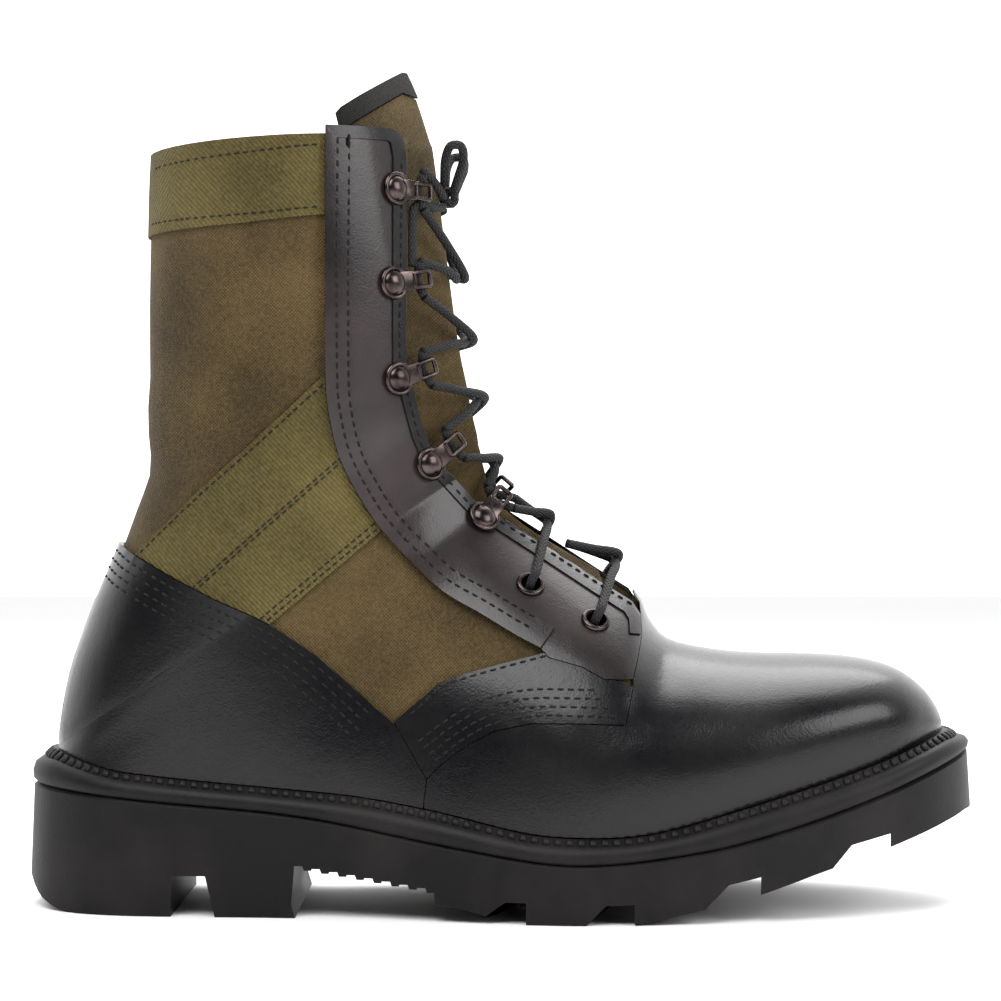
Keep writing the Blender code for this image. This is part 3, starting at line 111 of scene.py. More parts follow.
EYELET_HOLE = 0.0028
EYELET_WALL = 0.0006
EYELET_ROLL = 0.0010
HOOK_RADIUS = 0.0055
HOOK_DOME = 0.0027
HOOK_REACH = 0.0142      # rivet centre to the loop's far side
HOOK_LOOP_LONG = 0.0068
HOOK_LOOP_WIDE = 0.0062
HOOK_THICK = 0.0011
HOOK_WIRE = 0.0015
HOOK_LIFT = 0.0013       # middle of the arm above the facing
LACE = 0.0026
LACE_LIFT = 0.0010       # lace above the tongue
HIGH_ON_SHAFT = 0.45     # share of the rise above which both edges are as high
HOOK_STEPS = 16
LACE_BEND = 0.0029       # radius of the lace's bend out of an eyelet
BEND_STEPS = 3
LATERAL = -1.0
MEDIAL = 1.0
FEATHER = None           # marks a section that stands on the feather line


class Feather(NamedTuple):
    """A station of the feather line, where the upper meets the welt."""

    x: float       # share of LENGTH
    z: float       # share of SOLE_RISE
    half: float    # share of LAST_WIDTH
    centre: float  # share of LAST_WIDTH, + to the medial side


FEATHER_LINE = [
    Feather(-0.500, 1.000, 0.000, 0.000),
    Feather(-0.478, 0.955, 0.186, 0.000),
    Feather(-0.433, 0.891, 0.280, 0.000),
    Feather(-0.391, 0.863, 0.311, 0.000),
    Feather(-0.329, 0.828, 0.327, -0.002),
    Feather(-0.249, 0.789, 0.337, -0.008),
    Feather(-0.156, 0.742, 0.359, -0.022),
    Feather(-0.069, 0.660, 0.401, -0.039),
    Feather(0.028, 0.539, 0.459, -0.047),
    Feather(0.087, 0.516, 0.488, -0.039),
    Feather(0.145, 0.527, 0.500, -0.022),
    Feather(0.194, 0.578, 0.500, -0.006),
    Feather(0.249, 0.664, 0.490, 0.010),
    Feather(0.346, 0.820, 0.439, 0.037),
    Feather(0.409, 0.930, 0.378, 0.051),
    Feather(0.443, 0.996, 0.321, 0.056),
    Feather(0.478, 1.066, 0.214, 0.061),
    Feather(0.500, 1.104, 0.000, 0.061),
]


class Section(NamedTuple):
    """A slanting section of the last, from its lower or back point to its ridge point."""

    ridge_x: float  # share of LENGTH
    ridge_z: float  # share of UPPER_RISE above the feather line at the heel
    low_x: float    # share of LENGTH
    low_z: float    # share of UPPER_RISE, or FEATHER where the section stands on that line
    half: float     # widest half width, share of LAST_WIDTH
    ridge_y: float  # share of LAST_WIDTH
    widest: float   # place of the widest point, share of the section
    crown_p: float  # fullness of the crown
    crown_q: float  # roundness of the ridge


SECTIONS = [
    Section(0.500, 0.027, 0.500, FEATHER, 0.000, 0.061, 0.35, 2.3, 2.30),
    Section(0.497, 0.048, 0.497, FEATHER, 0.088, 0.061, 0.35, 2.3, 2.30),
    Section(0.488, 0.074, 0.488, FEATHER, 0.169, 0.061, 0.35, 2.3, 2.30),
    Section(0.472, 0.101, 0.472, FEATHER, 0.245, 0.061, 0.35, 2.3, 2.30),
    Section(0.445, 0.126, 0.445, FEATHER, 0.330, 0.059, 0.35, 2.3, 2.30),
    Section(0.405, 0.141, 0.405, FEATHER, 0.396, 0.055, 0.35, 2.3, 2.20),
    Section(0.350, 0.147, 0.350, FEATHER, 0.453, 0.051, 0.34, 2.2, 2.10),
    Section(0.284, 0.149, 0.284, FEATHER, 0.496, 0.051, 0.33, 2.1, 2.00),
    Section(0.229, 0.158, 0.229, FEATHER, 0.514, 0.051, 0.32, 2.0, 1.90),
    Section(0.187, 0.175, 0.177, FEATHER, 0.516, 0.051, 0.31, 2.0, 1.80),
    Section(0.164, 0.212, 0.132, FEATHER, 0.510, 0.056, 0.31, 2.0, 1.70),
    Section(0.150, 0.257, 0.090, FEATHER, 0.496, 0.061, 0.30, 2.0, 1.65),
    Section(0.111, 0.298, 0.028, FEATHER, 0.463, 0.061, 0.30, 2.0, 1.60),
    Section(0.066, 0.337, -0.048, FEATHER, 0.420, 0.061, 0.30, 2.0, 1.55),
    Section(0.028, 0.373, -0.132, FEATHER, 0.384, 0.051, 0.30, 2.0, 1.50),
    Section(0.003, 0.404, -0.229, FEATHER, 0.357, 0.041, 0.31, 2.0, 1.45),
    Section(-0.011, 0.430, -0.319, FEATHER, 0.347, 0.031, 0.32, 2.0, 1.40),
    Section(-0.017, 0.453, -0.388, FEATHER, 0.344, 0.020, 0.33, 2.0, 1.40),
    Section(-0.020, 0.472, -0.440, FEATHER, 0.343, 0.015, 0.34, 2.0, 1.40),
    Section(-0.023, 0.487, -0.475, FEATHER, 0.343, 0.010, 0.35, 2.0, 1.35),
    Section(-0.024, 0.499, -0.494, FEATHER, 0.343, 0.006, 0.36, 2.0, 1.35),
    Section(-0.026, 0.510, -0.500, 0.000, 0.344, 0.004, 0.37, 2.0, 1.35),
    Section(-0.028, 0.530, -0.498, 0.045, 0.345, 0.000, 0.38, 2.0, 1.30),
    Section(-0.032, 0.555, -0.488, 0.123, 0.347, 0.000, 0.39, 2.0, 1.30),
    Section(-0.036, 0.582, -0.470, 0.208, 0.349, 0.000, 0.40, 2.0, 1.30),
    Section(-0.040, 0.616, -0.445, 0.293, 0.353, 0.000, 0.42, 2.0, 1.30),
    Section(-0.046, 0.657, -0.423, 0.376, 0.360, 0.000, 0.43, 2.0, 1.30),
    Section(-0.052, 0.711, -0.407, 0.458, 0.369, 0.000, 0.44, 2.0, 1.30),
    Section(-0.059, 0.788, -0.403, 0.572, 0.384, 0.000, 0.45, 2.0, 1.30),
    Section(-0.068, 0.892, -0.403, 0.742, 0.398, 0.000, 0.46, 2.0, 1.30),
    Section(-0.078, 1.008, -0.400, 0.933, 0.408, 0.000, 0.47, 2.0, 1.30),
    Section(-0.082, 1.028, -0.398, 1.000, 0.411, 0.000, 0.47, 2.0, 1.30),
    Section(-0.098, 1.102, -0.397, 1.072, 0.413, 0.000, 0.47, 2.0, 1.30),
    Section(-0.114, 1.155, -0.396, 1.144, 0.413, 0.000, 0.47, 2.0, 1.30),
]
HEEL_POINT = 21    # section that starts at the back end of the feather line
COLLAR = 31        # section at the collar
LAST_ROW = len(SECTIONS) - 1
STEPS_UP = 9       # mesh steps from the feather line to the widest point
STEPS_OVER = 24    # mesh steps from the widest point to the ridge
PLAN_STEPS = 90    # mesh steps along the sole
TONGUE_START = 10  # section where the tongue begins, under the throat's front end
TONGUE_FREE = 12     # section from which the tongue stands out between the facings
TONGUE_COLUMNS = 16
TONGUE_NARROW = 16   # section up to which the throat is narrow
TONGUE_WIDE = 25     # section from which it is wide
INSTEP_CROWN = 5.6   # half width of the tongue's crown, in mesh columns
SHAFT_CROWN = 11.6
FACING_INNER = [
    (-0.107, 0.990), (-0.107, 0.809), (-0.107, 0.649), (-0.097, 0.587), (-0.087, 0.530),
    (-0.076, 0.489), (-0.055, 0.456), (-0.031, 0.417), (0.002, 0.386), (0.045, 0.345),
    (0.114, 0.278), (0.147, 0.247), (0.156, 0.226), (0.156, 0.195),
]
FACING_FRONT = [(0.149, 0.154), (0.143, 0.125)]
FACING_LOW = [(0.112, 0.126), (0.087, 0.146), (0.052, 0.160)]
FACING_OUTER = [
    (0.042, 0.176), (0.017, 0.195), (-0.024, 0.231), (-0.066, 0.267), (-0.100, 0.314),
    (-0.135, 0.370), (-0.158, 0.422), (-0.180, 0.489), (-0.191, 0.561), (-0.194, 0.613),
    (-0.194, 1.031),
]
FACING_TOP = [(-0.122, 1.034), (-0.111, 1.022)]
COUNTER_TOP = [
    (-0.520, 0.372), (-0.433, 0.345), (-0.409, 0.324), (-0.357, 0.283), (-0.319, 0.254),
    (-0.277, 0.226), (-0.249, 0.205), (-0.208, 0.164), (-0.166, 0.112), (-0.139, 0.076),
    (-0.118, 0.051),
]
COUNTER_FRONT = [(-0.083, -0.037), (-0.092, -0.150), (-0.520, -0.150)]
STRIP_TOP = [(-0.110, 0.066), (-0.097, 0.082), (-0.069, 0.118), (-0.042, 0.133), (-0.003, 0.149),
             (0.048, 0.168)]
STRIP_LOW = [(0.143, 0.112), (0.134, 0.054), (0.087, 0.056), (0.031, 0.056), (-0.009, 0.043),
             (-0.038, 0.020), (-0.066, -0.011), (-0.083, -0.037)]
WEB_UP = [(-0.180, 0.645), (-0.277, 0.510), (-0.336, 0.432), (-0.425, 0.306)]
WEB_LOW = [(-0.267, 0.200), (-0.120, 0.385)]


class Height(NamedTuple):
    """A height of the sole at a station."""

    x: float  # share of LENGTH
    z: float  # share of SOLE_RISE


SOLE_TOP = [
    Height(-0.534, 0.785), Height(-0.391, 0.711), Height(-0.225, 0.625), Height(-0.048, 0.449),
    Height(0.080, 0.361), Height(0.218, 0.437), Height(0.312, 0.561), Height(0.409, 0.734),
    Height(0.478, 0.879), Height(0.534, 0.996),
]
TREAD_LOW = [
    Height(-0.534, 0.190), Height(-0.515, 0.070), Height(-0.480, 0.000), Height(-0.200, 0.000),
    Height(-0.120, 0.090), Height(-0.073, 0.102), Height(-0.017, 0.049), Height(0.000, 0.000),
    Height(0.130, 0.000), Height(0.146, 0.008), Height(0.220, 0.092), Height(0.278, 0.170),
    Height(0.352, 0.303), Height(0.414, 0.408), Height(0.523, 0.613),
]
HEEL_NOTCH = [(-0.3640, -0.10), (-0.3640, 0.252), (-0.3260, 0.252), (-0.3150, 0.0), (-0.3150, -0.10)]
LUG_GROOVES = [
    [(-0.0175, -0.10), (-0.0175, 0.049), (0.0035, 0.133), (0.0275, 0.133), (0.0275, -0.10)],
    [(0.0935, -0.10), (0.0935, 0.0), (0.1145, 0.121), (0.1455, 0.127), (0.1455, -0.10)],
    [(0.2200, -0.10), (0.2200, 0.092), (0.2425, 0.234), (0.2785, 0.279), (0.2785, -0.10)],
    [(0.3520, -0.10), (0.3520, 0.303), (0.3740, 0.455), (0.4145, 0.514), (0.4145, -0.10)],
]
WELT_PROFILE = [(0.90, 0.0), (1.03, 0.10), (1.05, 0.34), (0.96, 0.58), (0.72, 0.74), (0.62, 0.76),
                (0.36, 1.0)]
TONGUE_BODY = [(0.160, 0.10), (0.160, 0.6), (-0.050, 1.085), (-0.113, 1.104), (-0.220, 0.975),
               (-0.220, 0.30)]
TONGUE_BAND = [(-0.050, 1.3), (-0.060, 1.15), (-0.1135, 1.144), (-0.220, 1.018), (-0.220, 0.978),
               (-0.113, 1.107), (-0.055, 1.09)]


def lx(share: float) -> float:
    """Length along the last from its share."""
    return share * LENGTH


def uz(share: float) -> float:
    """Height from its share of the upper's rise."""
    return SOLE_RISE + share * UPPER_RISE


def wy(share: float) -> float:
    """Width from its share of the last's width."""
    return share * LAST_WIDTH


def hermite(values: list, places: list, at: float) -> float:
    """Read a smooth curve through (place, value) pairs, with no overshoot at the ends.

    Args:
        values: Values of the curve.
        places: Places of the values, rising.
        at: Place that is read.

    Returns:
        The value.
    """
    last = len(places) - 1
    if at <= places[0]:
        return values[0]
    if at >= places[last]:
        return values[last]
    k = 0
    while at > places[k + 1]:
        k += 1

    def slope(i: int) -> float:
        """Slope at a value, from its two neighbours."""
        lo = max(i - 1, 0)
        hi = min(i + 1, last)
        return (values[hi] - values[lo]) / (places[hi] - places[lo])

    span = places[k + 1] - places[k]
    t = (at - places[k]) / span
    a = (1 + 2 * t) * (1 - t) ** 2
    b = t * (1 - t) ** 2 * span
    c = t * t * (3 - 2 * t)
    d = t * t * (t - 1) * span
    return a * values[k] + b * slope(k) + c * values[k + 1] + d * slope(k + 1)


FEATHER_X = [f.x for f in FEATHER_LINE]


def feather_z(x: float) -> float:
    """Height of the feather line at x, run on level beyond its ends."""
    return SOLE_RISE * hermite([f.z for f in FEATHER_LINE], FEATHER_X, x / LENGTH)


def feather_half(x: float) -> float:
    """Half width of the feather line at x."""
    square = hermite([f.half ** 2 for f in FEATHER_LINE], FEATHER_X, x / LENGTH)
    return LAST_WIDTH * math.sqrt(max(square, 0.0))


def feather_centre(x: float) -> float:
    """Centre line of the feather line at x."""
    return LAST_WIDTH * hermite([f.centre for f in FEATHER_LINE], FEATHER_X, x / LENGTH)


class Slice(NamedTuple):
    """A section at any place between the rows of the table, in metres."""

    ridge_x: float
    ridge_z: float
    low_x: float
    low_z: float
    half: float
    ridge_y: float
    low_y: float
    low_half: float
    widest: float
    crown_p: float
    crown_q: float


def slice_at(place: float) -> Slice:
    """Interpolate the table of sections at a row number with a fraction.

    Args:
        place: Row of the table of sections, with a fraction.

    Returns:
        The section.
    """
    rows = list(range(len(SECTIONS)))

    def column(name: str) -> float:
        """Read one column of the table at the place."""
        return hermite([getattr(s, name) for s in SECTIONS], rows, place)

    low_x = lx(column("low_x"))
    if place <= HEEL_POINT:
        low_z = feather_z(low_x)
        low_half = feather_half(low_x)
        low_y = feather_centre(low_x)
    else:
        lows = [s.low_z or 0.0 for s in SECTIONS]
        low_z = uz(hermite(lows[HEEL_POINT:], rows[HEEL_POINT:], place))
        low_half = 0.0
        low_y = 0.0
    half = wy(column("half"))
    return Slice(lx(column("ridge_x")), uz(column("ridge_z")), low_x, low_z, half,
                 wy(column("ridge_y")), low_y, min(low_half, 0.985 * half),
                 column("widest"), column("crown_p"), column("crown_q"))


def side_points(cut: Slice, side: float) -> list:
    """Points of one side of a slice, from its low point over the widest to the ridge.

    Args:
        cut: The section.
        side: LATERAL or MEDIAL.

    Returns:
        The points, from low to ridge.
    """
    ratio = cut.low_half / cut.half if cut.half > 0 else 0.985
    reach = cut.widest / math.sqrt(1 - ratio ** 2)
    start = math.acos(min(cut.widest / reach, 1.0))
    shape = []
    for i in range(STEPS_UP):
        turn = start + (math.pi / 2 - start) * i / STEPS_UP
        shape.append((cut.widest - reach * math.cos(turn), math.sin(turn)))
    for i in range(STEPS_OVER + 1):
        u = math.sin(math.pi / 2 * i / STEPS_OVER)
        full = max(1 - u ** cut.crown_p, 0.0) ** (1 / cut.crown_q)
        shape.append((cut.widest + (1 - cut.widest) * u, full))
    points = []
    for along, out in shape:
        middle = cut.low_y + (cut.ridge_y - cut.low_y) * along ** 2
        points.append(Vector((cut.low_x + (cut.ridge_x - cut.low_x) * along,
                              middle + side * cut.half * out,
                              cut.low_z + (cut.ridge_z - cut.low_z) * along)))
    return points


def section_places() -> list:
    """Row numbers of the mesh's sections, with even steps between the rows of the table.

    Returns:
        The row numbers.
    """
    places = []
    for k in range(LAST_ROW):
        places.extend(k + step / ROW_STEPS for step in range(ROW_STEPS))
    places.append(float(LAST_ROW))
    return places


class Crease(NamedTuple):
    """A soft trough or, with a negative depth, a ridge in the side view."""

    start_x: float  # share of the last's length
    start_z: float  # share of the upper's rise
    end_x: float
    end_z: float
    half: float     # half width, as a share of the last's width
    deep: float     # depth, as a share of the last's width


CREASES = [
    Crease(-0.401, 0.468, -0.300, 0.560, 0.075, 0.0125),
    Crease(-0.395, 0.560, -0.290, 0.640, 0.070, -0.0080),
    Crease(-0.304, 0.690, -0.215, 0.758, 0.080, 0.0090),
    Crease(-0.344, 0.843, -0.358, 0.600, 0.100, 0.0110),
    Crease(-0.262, 0.820, -0.250, 0.480, 0.090, 0.0080),
    Crease(-0.144, 0.262, -0.030, 0.190, 0.060, 0.0075),
    Crease(-0.160, 0.340, -0.100, 0.300, 0.050, -0.0050),
    Crease(0.171, 0.130, 0.110, 0.020, 0.070, 0.0060),
    Crease(0.215, 0.110, 0.165, 0.020, 0.060, -0.0035),
    Crease(-0.470, 0.190, -0.395, 0.260, 0.070, 0.0050),
]


def crease_depth(point: Vector) -> float:
    """How far the creases press in the surface at a point of the last.

    Args:
        point: The point.

    Returns:
        The depth in metres, below zero on a ridge.
    """
    depth = 0.0
    flat = Vector((point.x, point.z))
    for crease in CREASES:
        start = Vector((lx(crease.start_x), uz(crease.start_z)))
        run = Vector((lx(crease.end_x), uz(crease.end_z))) - start
        share = min(max((flat - start).dot(run) / run.length_squared, 0.0), 1.0)
        near = (flat - start - run * share).length / (crease.half * LAST_WIDTH)
        depth += crease.deep * LAST_WIDTH * math.exp(-near * near)
    return depth


class LastForm:
    """The grid of the last's outer surface, with a normal at each point."""

    def __init__(self) -> None:
        """Work out the points once, shared where the two sides meet."""
        self.places = section_places()
        self.columns = 2 * (STEPS_UP + STEPS_OVER) + 1
        self.points = []
        self.rows = []
        for place in self.places:
            self.rows.append(self.add_row(place))
        mesh = bmesh.new()
        verts = [mesh.verts.new(p) for p in self.points]
        for face in self.faces(self.rows):
            mesh.faces.new([verts[i] for i in face])
        mesh.normal_update()
        self.normals = [v.normal.copy() for v in verts]
        self.normals[self.rows[0][0]] = Vector((1, 0, 0))
        mesh.free()
        for number, point in enumerate(self.points):
            self.points[number] = point - self.normals[number] * crease_depth(point)
        self.triangles = self.faces(self.rows)
        self.tree = BVHTree.FromPolygons(self.points, self.triangles)

    def add_row(self, place: float) -> list:
        """Add one section's points and return their numbers, lateral low to medial low.

        Args:
            place: Row of the table of sections, with a fraction.

        Returns:
            Numbers of the row's points.
        """
        if place == 0:
            cut = slice_at(0)
            self.points.append(Vector((cut.low_x, cut.low_y, cut.low_z)))
            return [len(self.points) - 1] * self.columns
        cut = slice_at(place)
        lateral = side_points(cut, LATERAL)
        medial = side_points(cut, MEDIAL)
        first = len(self.points)
        line = lateral + medial[-2::-1]
        closed = place >= HEEL_POINT
        if closed:
            line = line[:-1]
        self.points.extend(line)
        numbers = list(range(first, first + len(line)))
        if closed:
            numbers.append(first)
        return numbers

    def faces(self, rows: list) -> list:
        """Triangles between neighbouring rows, facing outwards, mirrored about the ridge.

        Args:
            rows: Rows of the grid's point numbers.

        Returns:
            The triangles.
        """
        found = []
        for low, high in zip(rows, rows[1:]):
            for j in range(self.columns - 1):
                a, b, c, d = low[j], low[j + 1], high[j + 1], high[j]
                if j < self.columns // 2:
                    pair = ((a, b, c), (a, c, d))
                else:
                    pair = ((a, b, d), (b, c, d))
                found.extend(face for face in pair if len(set(face)) == 3)
        return found

    def offset(self, number: int, distance: float, level: bool) -> Vector:
        """A grid point moved along its normal, or along the level part of it.

        Args:
            number: Number of a grid point.
            distance: Distance outwards in metres.
            level: Whether it moves level only.

        Returns:
            The moved point.
        """
        normal = self.normals[number]
        if level:
            normal = Vector((normal.x, normal.y, 0)).normalized()
        return self.points[number] + distance * normal

    def hit(self, side: float, x: float, z: float) -> tuple:
        """Point and normal of the surface where the side view shows (x, z).

        Args:
            side: LATERAL or MEDIAL.
            x: Place along the boot.
            z: Height.

        Returns:
            Point and normal, or two times None.
        """
        start = Vector((x, side * LAST_WIDTH * 2, z))
        place, _, number, _ = self.tree.ray_cast(start, Vector((0, -side, 0)))
        if place is None:
            return None, None
        corners = self.triangles[number]
        shares = poly_3d_calc([self.points[i] for i in corners], place)
        normal = Vector((0, 0, 0))
        for i, share in zip(corners, shares):
            normal += self.normals[i] * share
        return place, normal.normalized()


def prism(outline: list, low: float, high: float, slant: float = 0.0) -> BMesh:
    """Extrude a side-view outline, in metres, across the width, slanting forward to the middle.

    Args:
        outline: Side-view corners in metres.
        low: One side in Y.
        high: The other side in Y.
        slant: How far the outline leans forward per metre of width.

    Returns:
        The mesh.
    """
    mesh = bmesh.new()
    edge = LAST_WIDTH / 2 + SIDE_MARGIN
    near = [mesh.verts.new((x + slant * (edge - abs(low)), low, z)) for x, z in outline]
    face = mesh.faces.new(near)
    grown = bmesh.ops.extrude_face_region(mesh, geom=[face])
    for vert in grown["geom"]:
        if isinstance(vert, BMVert):
            vert.co.y = high
            vert.co.x -= slant * (abs(high) - abs(low))
    return mesh


def outline_at(shares: list) -> list:
    """A side-view outline in metres."""
    return [(lx(x), uz(z)) for x, z in shares]


def grown_outline(points: list, margin: float) -> list:
    """Move each corner of an outline outwards by a margin, with mitred corners.

    Args:
        points: Points in order.
        margin: Distance outwards in metres.

    Returns:
        The moved corners.
    """
    count = len(points)
    area = sum(points[i - 1][0] * points[i][1] - points[i][0] * points[i - 1][1] for i in range(count))
    turn = 1.0 if area > 0 else -1.0
    grown = []
    for i in range(count):
        here = Vector(points[i])
        before = (here - Vector(points[i - 1])).normalized()
        after = (Vector(points[(i + 1) % count]) - here).normalized()
        out = Vector((before.y + after.y, -before.x - after.x)) * turn
        share = max(out.length_squared / 2, 0.35)
        grown.append(tuple(here + out * (margin / share)))
    return grown


def form_shell(form: LastForm, outer: float, inner: float, top: float, hem: float) -> BMesh:
    """A hollow wall between two offsets of the last, open underneath and at the top section.

    Args:
        form: The last.
        outer: Outer skin above the last.
        inner: Inner skin above the last.
        top: Section that it ends at.
        hem: How far its lower edge is raised.

    Returns:
        The mesh.
    """
    used = [row for row, place in zip(form.rows, form.places) if place <= top]
    mesh = bmesh.new()
    hems = {form.rows[0][0]: form.rows[1][form.columns // 2]}
    for row, place in zip(form.rows[1:], form.places[1:]):
        if place < HEEL_POINT:
            hems[row[0]] = row[1]
            hems[row[-1]] = row[-2]
    heel = form.places.index(HEEL_POINT)
    hems[form.rows[heel][0]] = form.rows[heel + 1][0]
    rims = set(hems)
    for row, place in zip(form.rows, form.places):
        if place == top:
            rims.update(row)
    skins = []
    for distance in (outer, inner):
        skin = {}
        for row in used:
            for number in row:
                if number not in skin:
                    place = form.offset(number, distance, number in rims)
                    if number in hems:
                        above = form.offset(hems[number], distance, False)
                        place = place.lerp(above, hem / (above - place).length)
                    skin[number] = mesh.verts.new(place)
        skins.append(skin)
    faces = form.faces(used)
    for face in faces:
        mesh.faces.new([skins[0][i] for i in face])
        mesh.faces.new([skins[1][i] for i in reversed(face)])
    sides = {}
    for face in faces:
        for a, b in zip(face, face[1:] + face[:1]):
            sides[(a, b)] = sides.get((a, b), 0) + 1
    for a, b in sides:
        if (b, a) not in sides:
            mesh.faces.new([skins[0][b], skins[0][a], skins[1][a], skins[1][b]])
    return mesh


def throat_outline(raised: float) -> list:
    """Side view of what the throat takes out of the upper and the vamp.

    Args:
        raised: How far the inner edge is raised.

    Returns:
        The corners in metres.
    """
    edge = [(x, z + raised) for x, z in outline_at(FACING_INNER)]
    front = outline_at([(0.176, 0.182)])
    far = outline_at([(0.176, 1.2), (-0.107, 1.2)])
    return edge + front + far


def facing_outline(raised: float) -> list:
    """Side view of an eyestay. The medial one is raised over the instep."""
    inner = [(x, z + raised) for x, z in outline_at(FACING_INNER)]
    rest = outline_at(FACING_FRONT + FACING_LOW + FACING_OUTER + FACING_TOP)
    return inner + rest


def counter_outline() -> list:
    """Side view of the heel counter."""
    return outline_at(COUNTER_TOP + COUNTER_FRONT)


def strip_outline() -> list:
    """Side view of the band between the canvas and the vamp."""
    return outline_at(STRIP_TOP + STRIP_LOW)


def quarter_outline() -> list:
    """Side view of all that lies behind the vamp."""
    far = [(-0.095, -0.20), (-0.60, -0.20), (-0.60, 1.3), (STRIP_LOW[0][0], 1.3)]
    return outline_at(STRIP_LOW + far)


def vamp_outline() -> list:
    """Side view of all that the vamp may cover."""
    return outline_at([(-0.10, -0.20), (0.60, -0.20), (0.60, 0.60), (-0.10, 0.60)])


def collar_outline() -> list:
    """Side view of the collar webbing."""
    return outline_at([(-0.45, 0.858), (-0.284, 0.871), (-0.170, 0.890), (-0.170, 1.2), (-0.45, 1.2)])


def ankle_outline() -> list:
    """Side view of the slanting webbing."""
    return outline_at(WEB_UP + WEB_LOW)


def plan_points(margin: float) -> list:
    """Plan of the sole beyond the feather line: (x, y) from the heel, lateral side first.

    Args:
        margin: Distance outwards in metres.

    Returns:
        The points.
    """
    stations = []
    for i in range(PLAN_STEPS + 1):
        stations.append(-math.cos(math.pi * i / PLAN_STEPS) / 2)
    lateral = []
    medial = []
    for share in stations:
        x = lx(share)
        middle = feather_centre(x)
        half = feather_half(x)
        lateral.append(Vector((x, middle - half)))
        medial.append(Vector((x, middle + half)))
    ring = lateral + medial[-2:0:-1]
    count = len(ring)
    moved = []
    for i in range(count):
        along = (ring[(i + 1) % count] - ring[i - 1]).normalized()
        out = Vector((along.y, -along.x))
        lead = END_MARGIN - SIDE_MARGIN
        reach = margin * (1 + lead / SIDE_MARGIN * out.x ** 2)
        moved.append(ring[i] + out * reach)
    return moved


def plan_rings(mesh: BMesh, levels: list) -> None:
    """Loft the plan through (margin, height function) levels, upwards, and close both ends.

    Args:
        mesh: Mesh that takes it.
        levels: Margin and height function of each ring.
    """
    rings = []
    for margin, height in levels:
        rings.append([mesh.verts.new((p.x, p.y, height(p.x))) for p in plan_points(margin)])
    count = len(rings[0])
    for low, high in zip(rings, rings[1:]):
        for i in range(count):
            k = (i + 1) % count
            mesh.faces.new((low[i], low[k], high[k], high[i]))
    for ring, upwards in ((rings[0], False), (rings[-1], True)):
        for i in range(PLAN_STEPS):
            near = (ring[i], ring[i + 1])
            far = (ring[(count - i - 1) % count], ring[(count - i) % count])
            face = []
            for vert in near + far:
                if vert not in face:
                    face.append(vert)
            mesh.faces.new(face if upwards else face[::-1])
    bmesh.ops.triangulate(mesh, faces=mesh.faces)


def sole_top(x: float) -> float:
    """Height of the line between the outsole and the welt."""
    return SOLE_RISE * hermite([row.z for row in SOLE_TOP], [row.x for row in SOLE_TOP], x / LENGTH)


def tread_low(x: float) -> float:
    """Lowest height of the lugs: flat at the heel and the ball, rising to the toe."""
    height = hermite([row.z for row in TREAD_LOW], [row.x for row in TREAD_LOW], x / LENGTH)
    return SOLE_RISE * max(height, 0.0)


def sole_outline(shares: list) -> list:
    """Side-view outline of the sole in metres."""
    return [(lx(x), SOLE_RISE * z) for x, z in shares]


def waist_outline() -> list:
    """Side view of what the ribbed waist takes out of the sole.

    Returns:
        The corners in metres.
    """
    points = sole_outline([(-0.2265, -0.10), (-0.2265, 0.0), (-0.2310, 0.082)])
    start = -0.2275
    pitch = (-0.0727 - start) / WAIST_RIBS
    for i in range(WAIST_RIBS):
        share = i / (WAIST_RIBS - 1)
        level = SOLE_RISE * (0.320 - 0.115 * share)
        x = lx(start + pitch * i)
        points += [(x, level), (x + lx(pitch) * 0.45, level)]
        points += [(x + lx(pitch) * 0.55, level - RIB_DEPTH), (x + lx(pitch) * 0.95, level - RIB_DEPTH)]
    return points + sole_outline([(-0.0727, -0.10)])


def channel_outline() -> list:
    """Side view of the shallow channel along the middle of the tread.

    Returns:
        The corners in metres.
    """
    shares = [-0.120 + 0.04 * i for i in range(14)]
    top = [(lx(x), tread_low(lx(x)) + CHANNEL_DEPTH) for x in shares]
    low = -CHANNEL_DEPTH
    return top + [(top[-1][0], low), (top[0][0], low)]


def tongue_offset(form: LastForm, row: int, column: int) -> float:
    """How far the tongue's outer face lies from the last: under the facings, out at the ridge.

    Args:
        form: The last.
        row: Row of the grid.
        column: Column of the grid.

    Returns:
        The offset in metres.
    """
    off_ridge = abs(column - form.columns // 2)
    shaft = min(max((form.places[row] - TONGUE_NARROW) / (TONGUE_WIDE - TONGUE_NARROW), 0.0), 1.0)
    crown = INSTEP_CROWN + (SHAFT_CROWN - INSTEP_CROWN) * shaft
    bulge = max(0.0, 1 - off_ridge / crown)
    lift = bulge * bulge * (3 - 2 * bulge)
    under = -(WALL + TONGUE_GAP)
    if form.places[row] < TONGUE_FREE:
        lift = 0.0
    return under + lift * (TONGUE_LIFT - under)


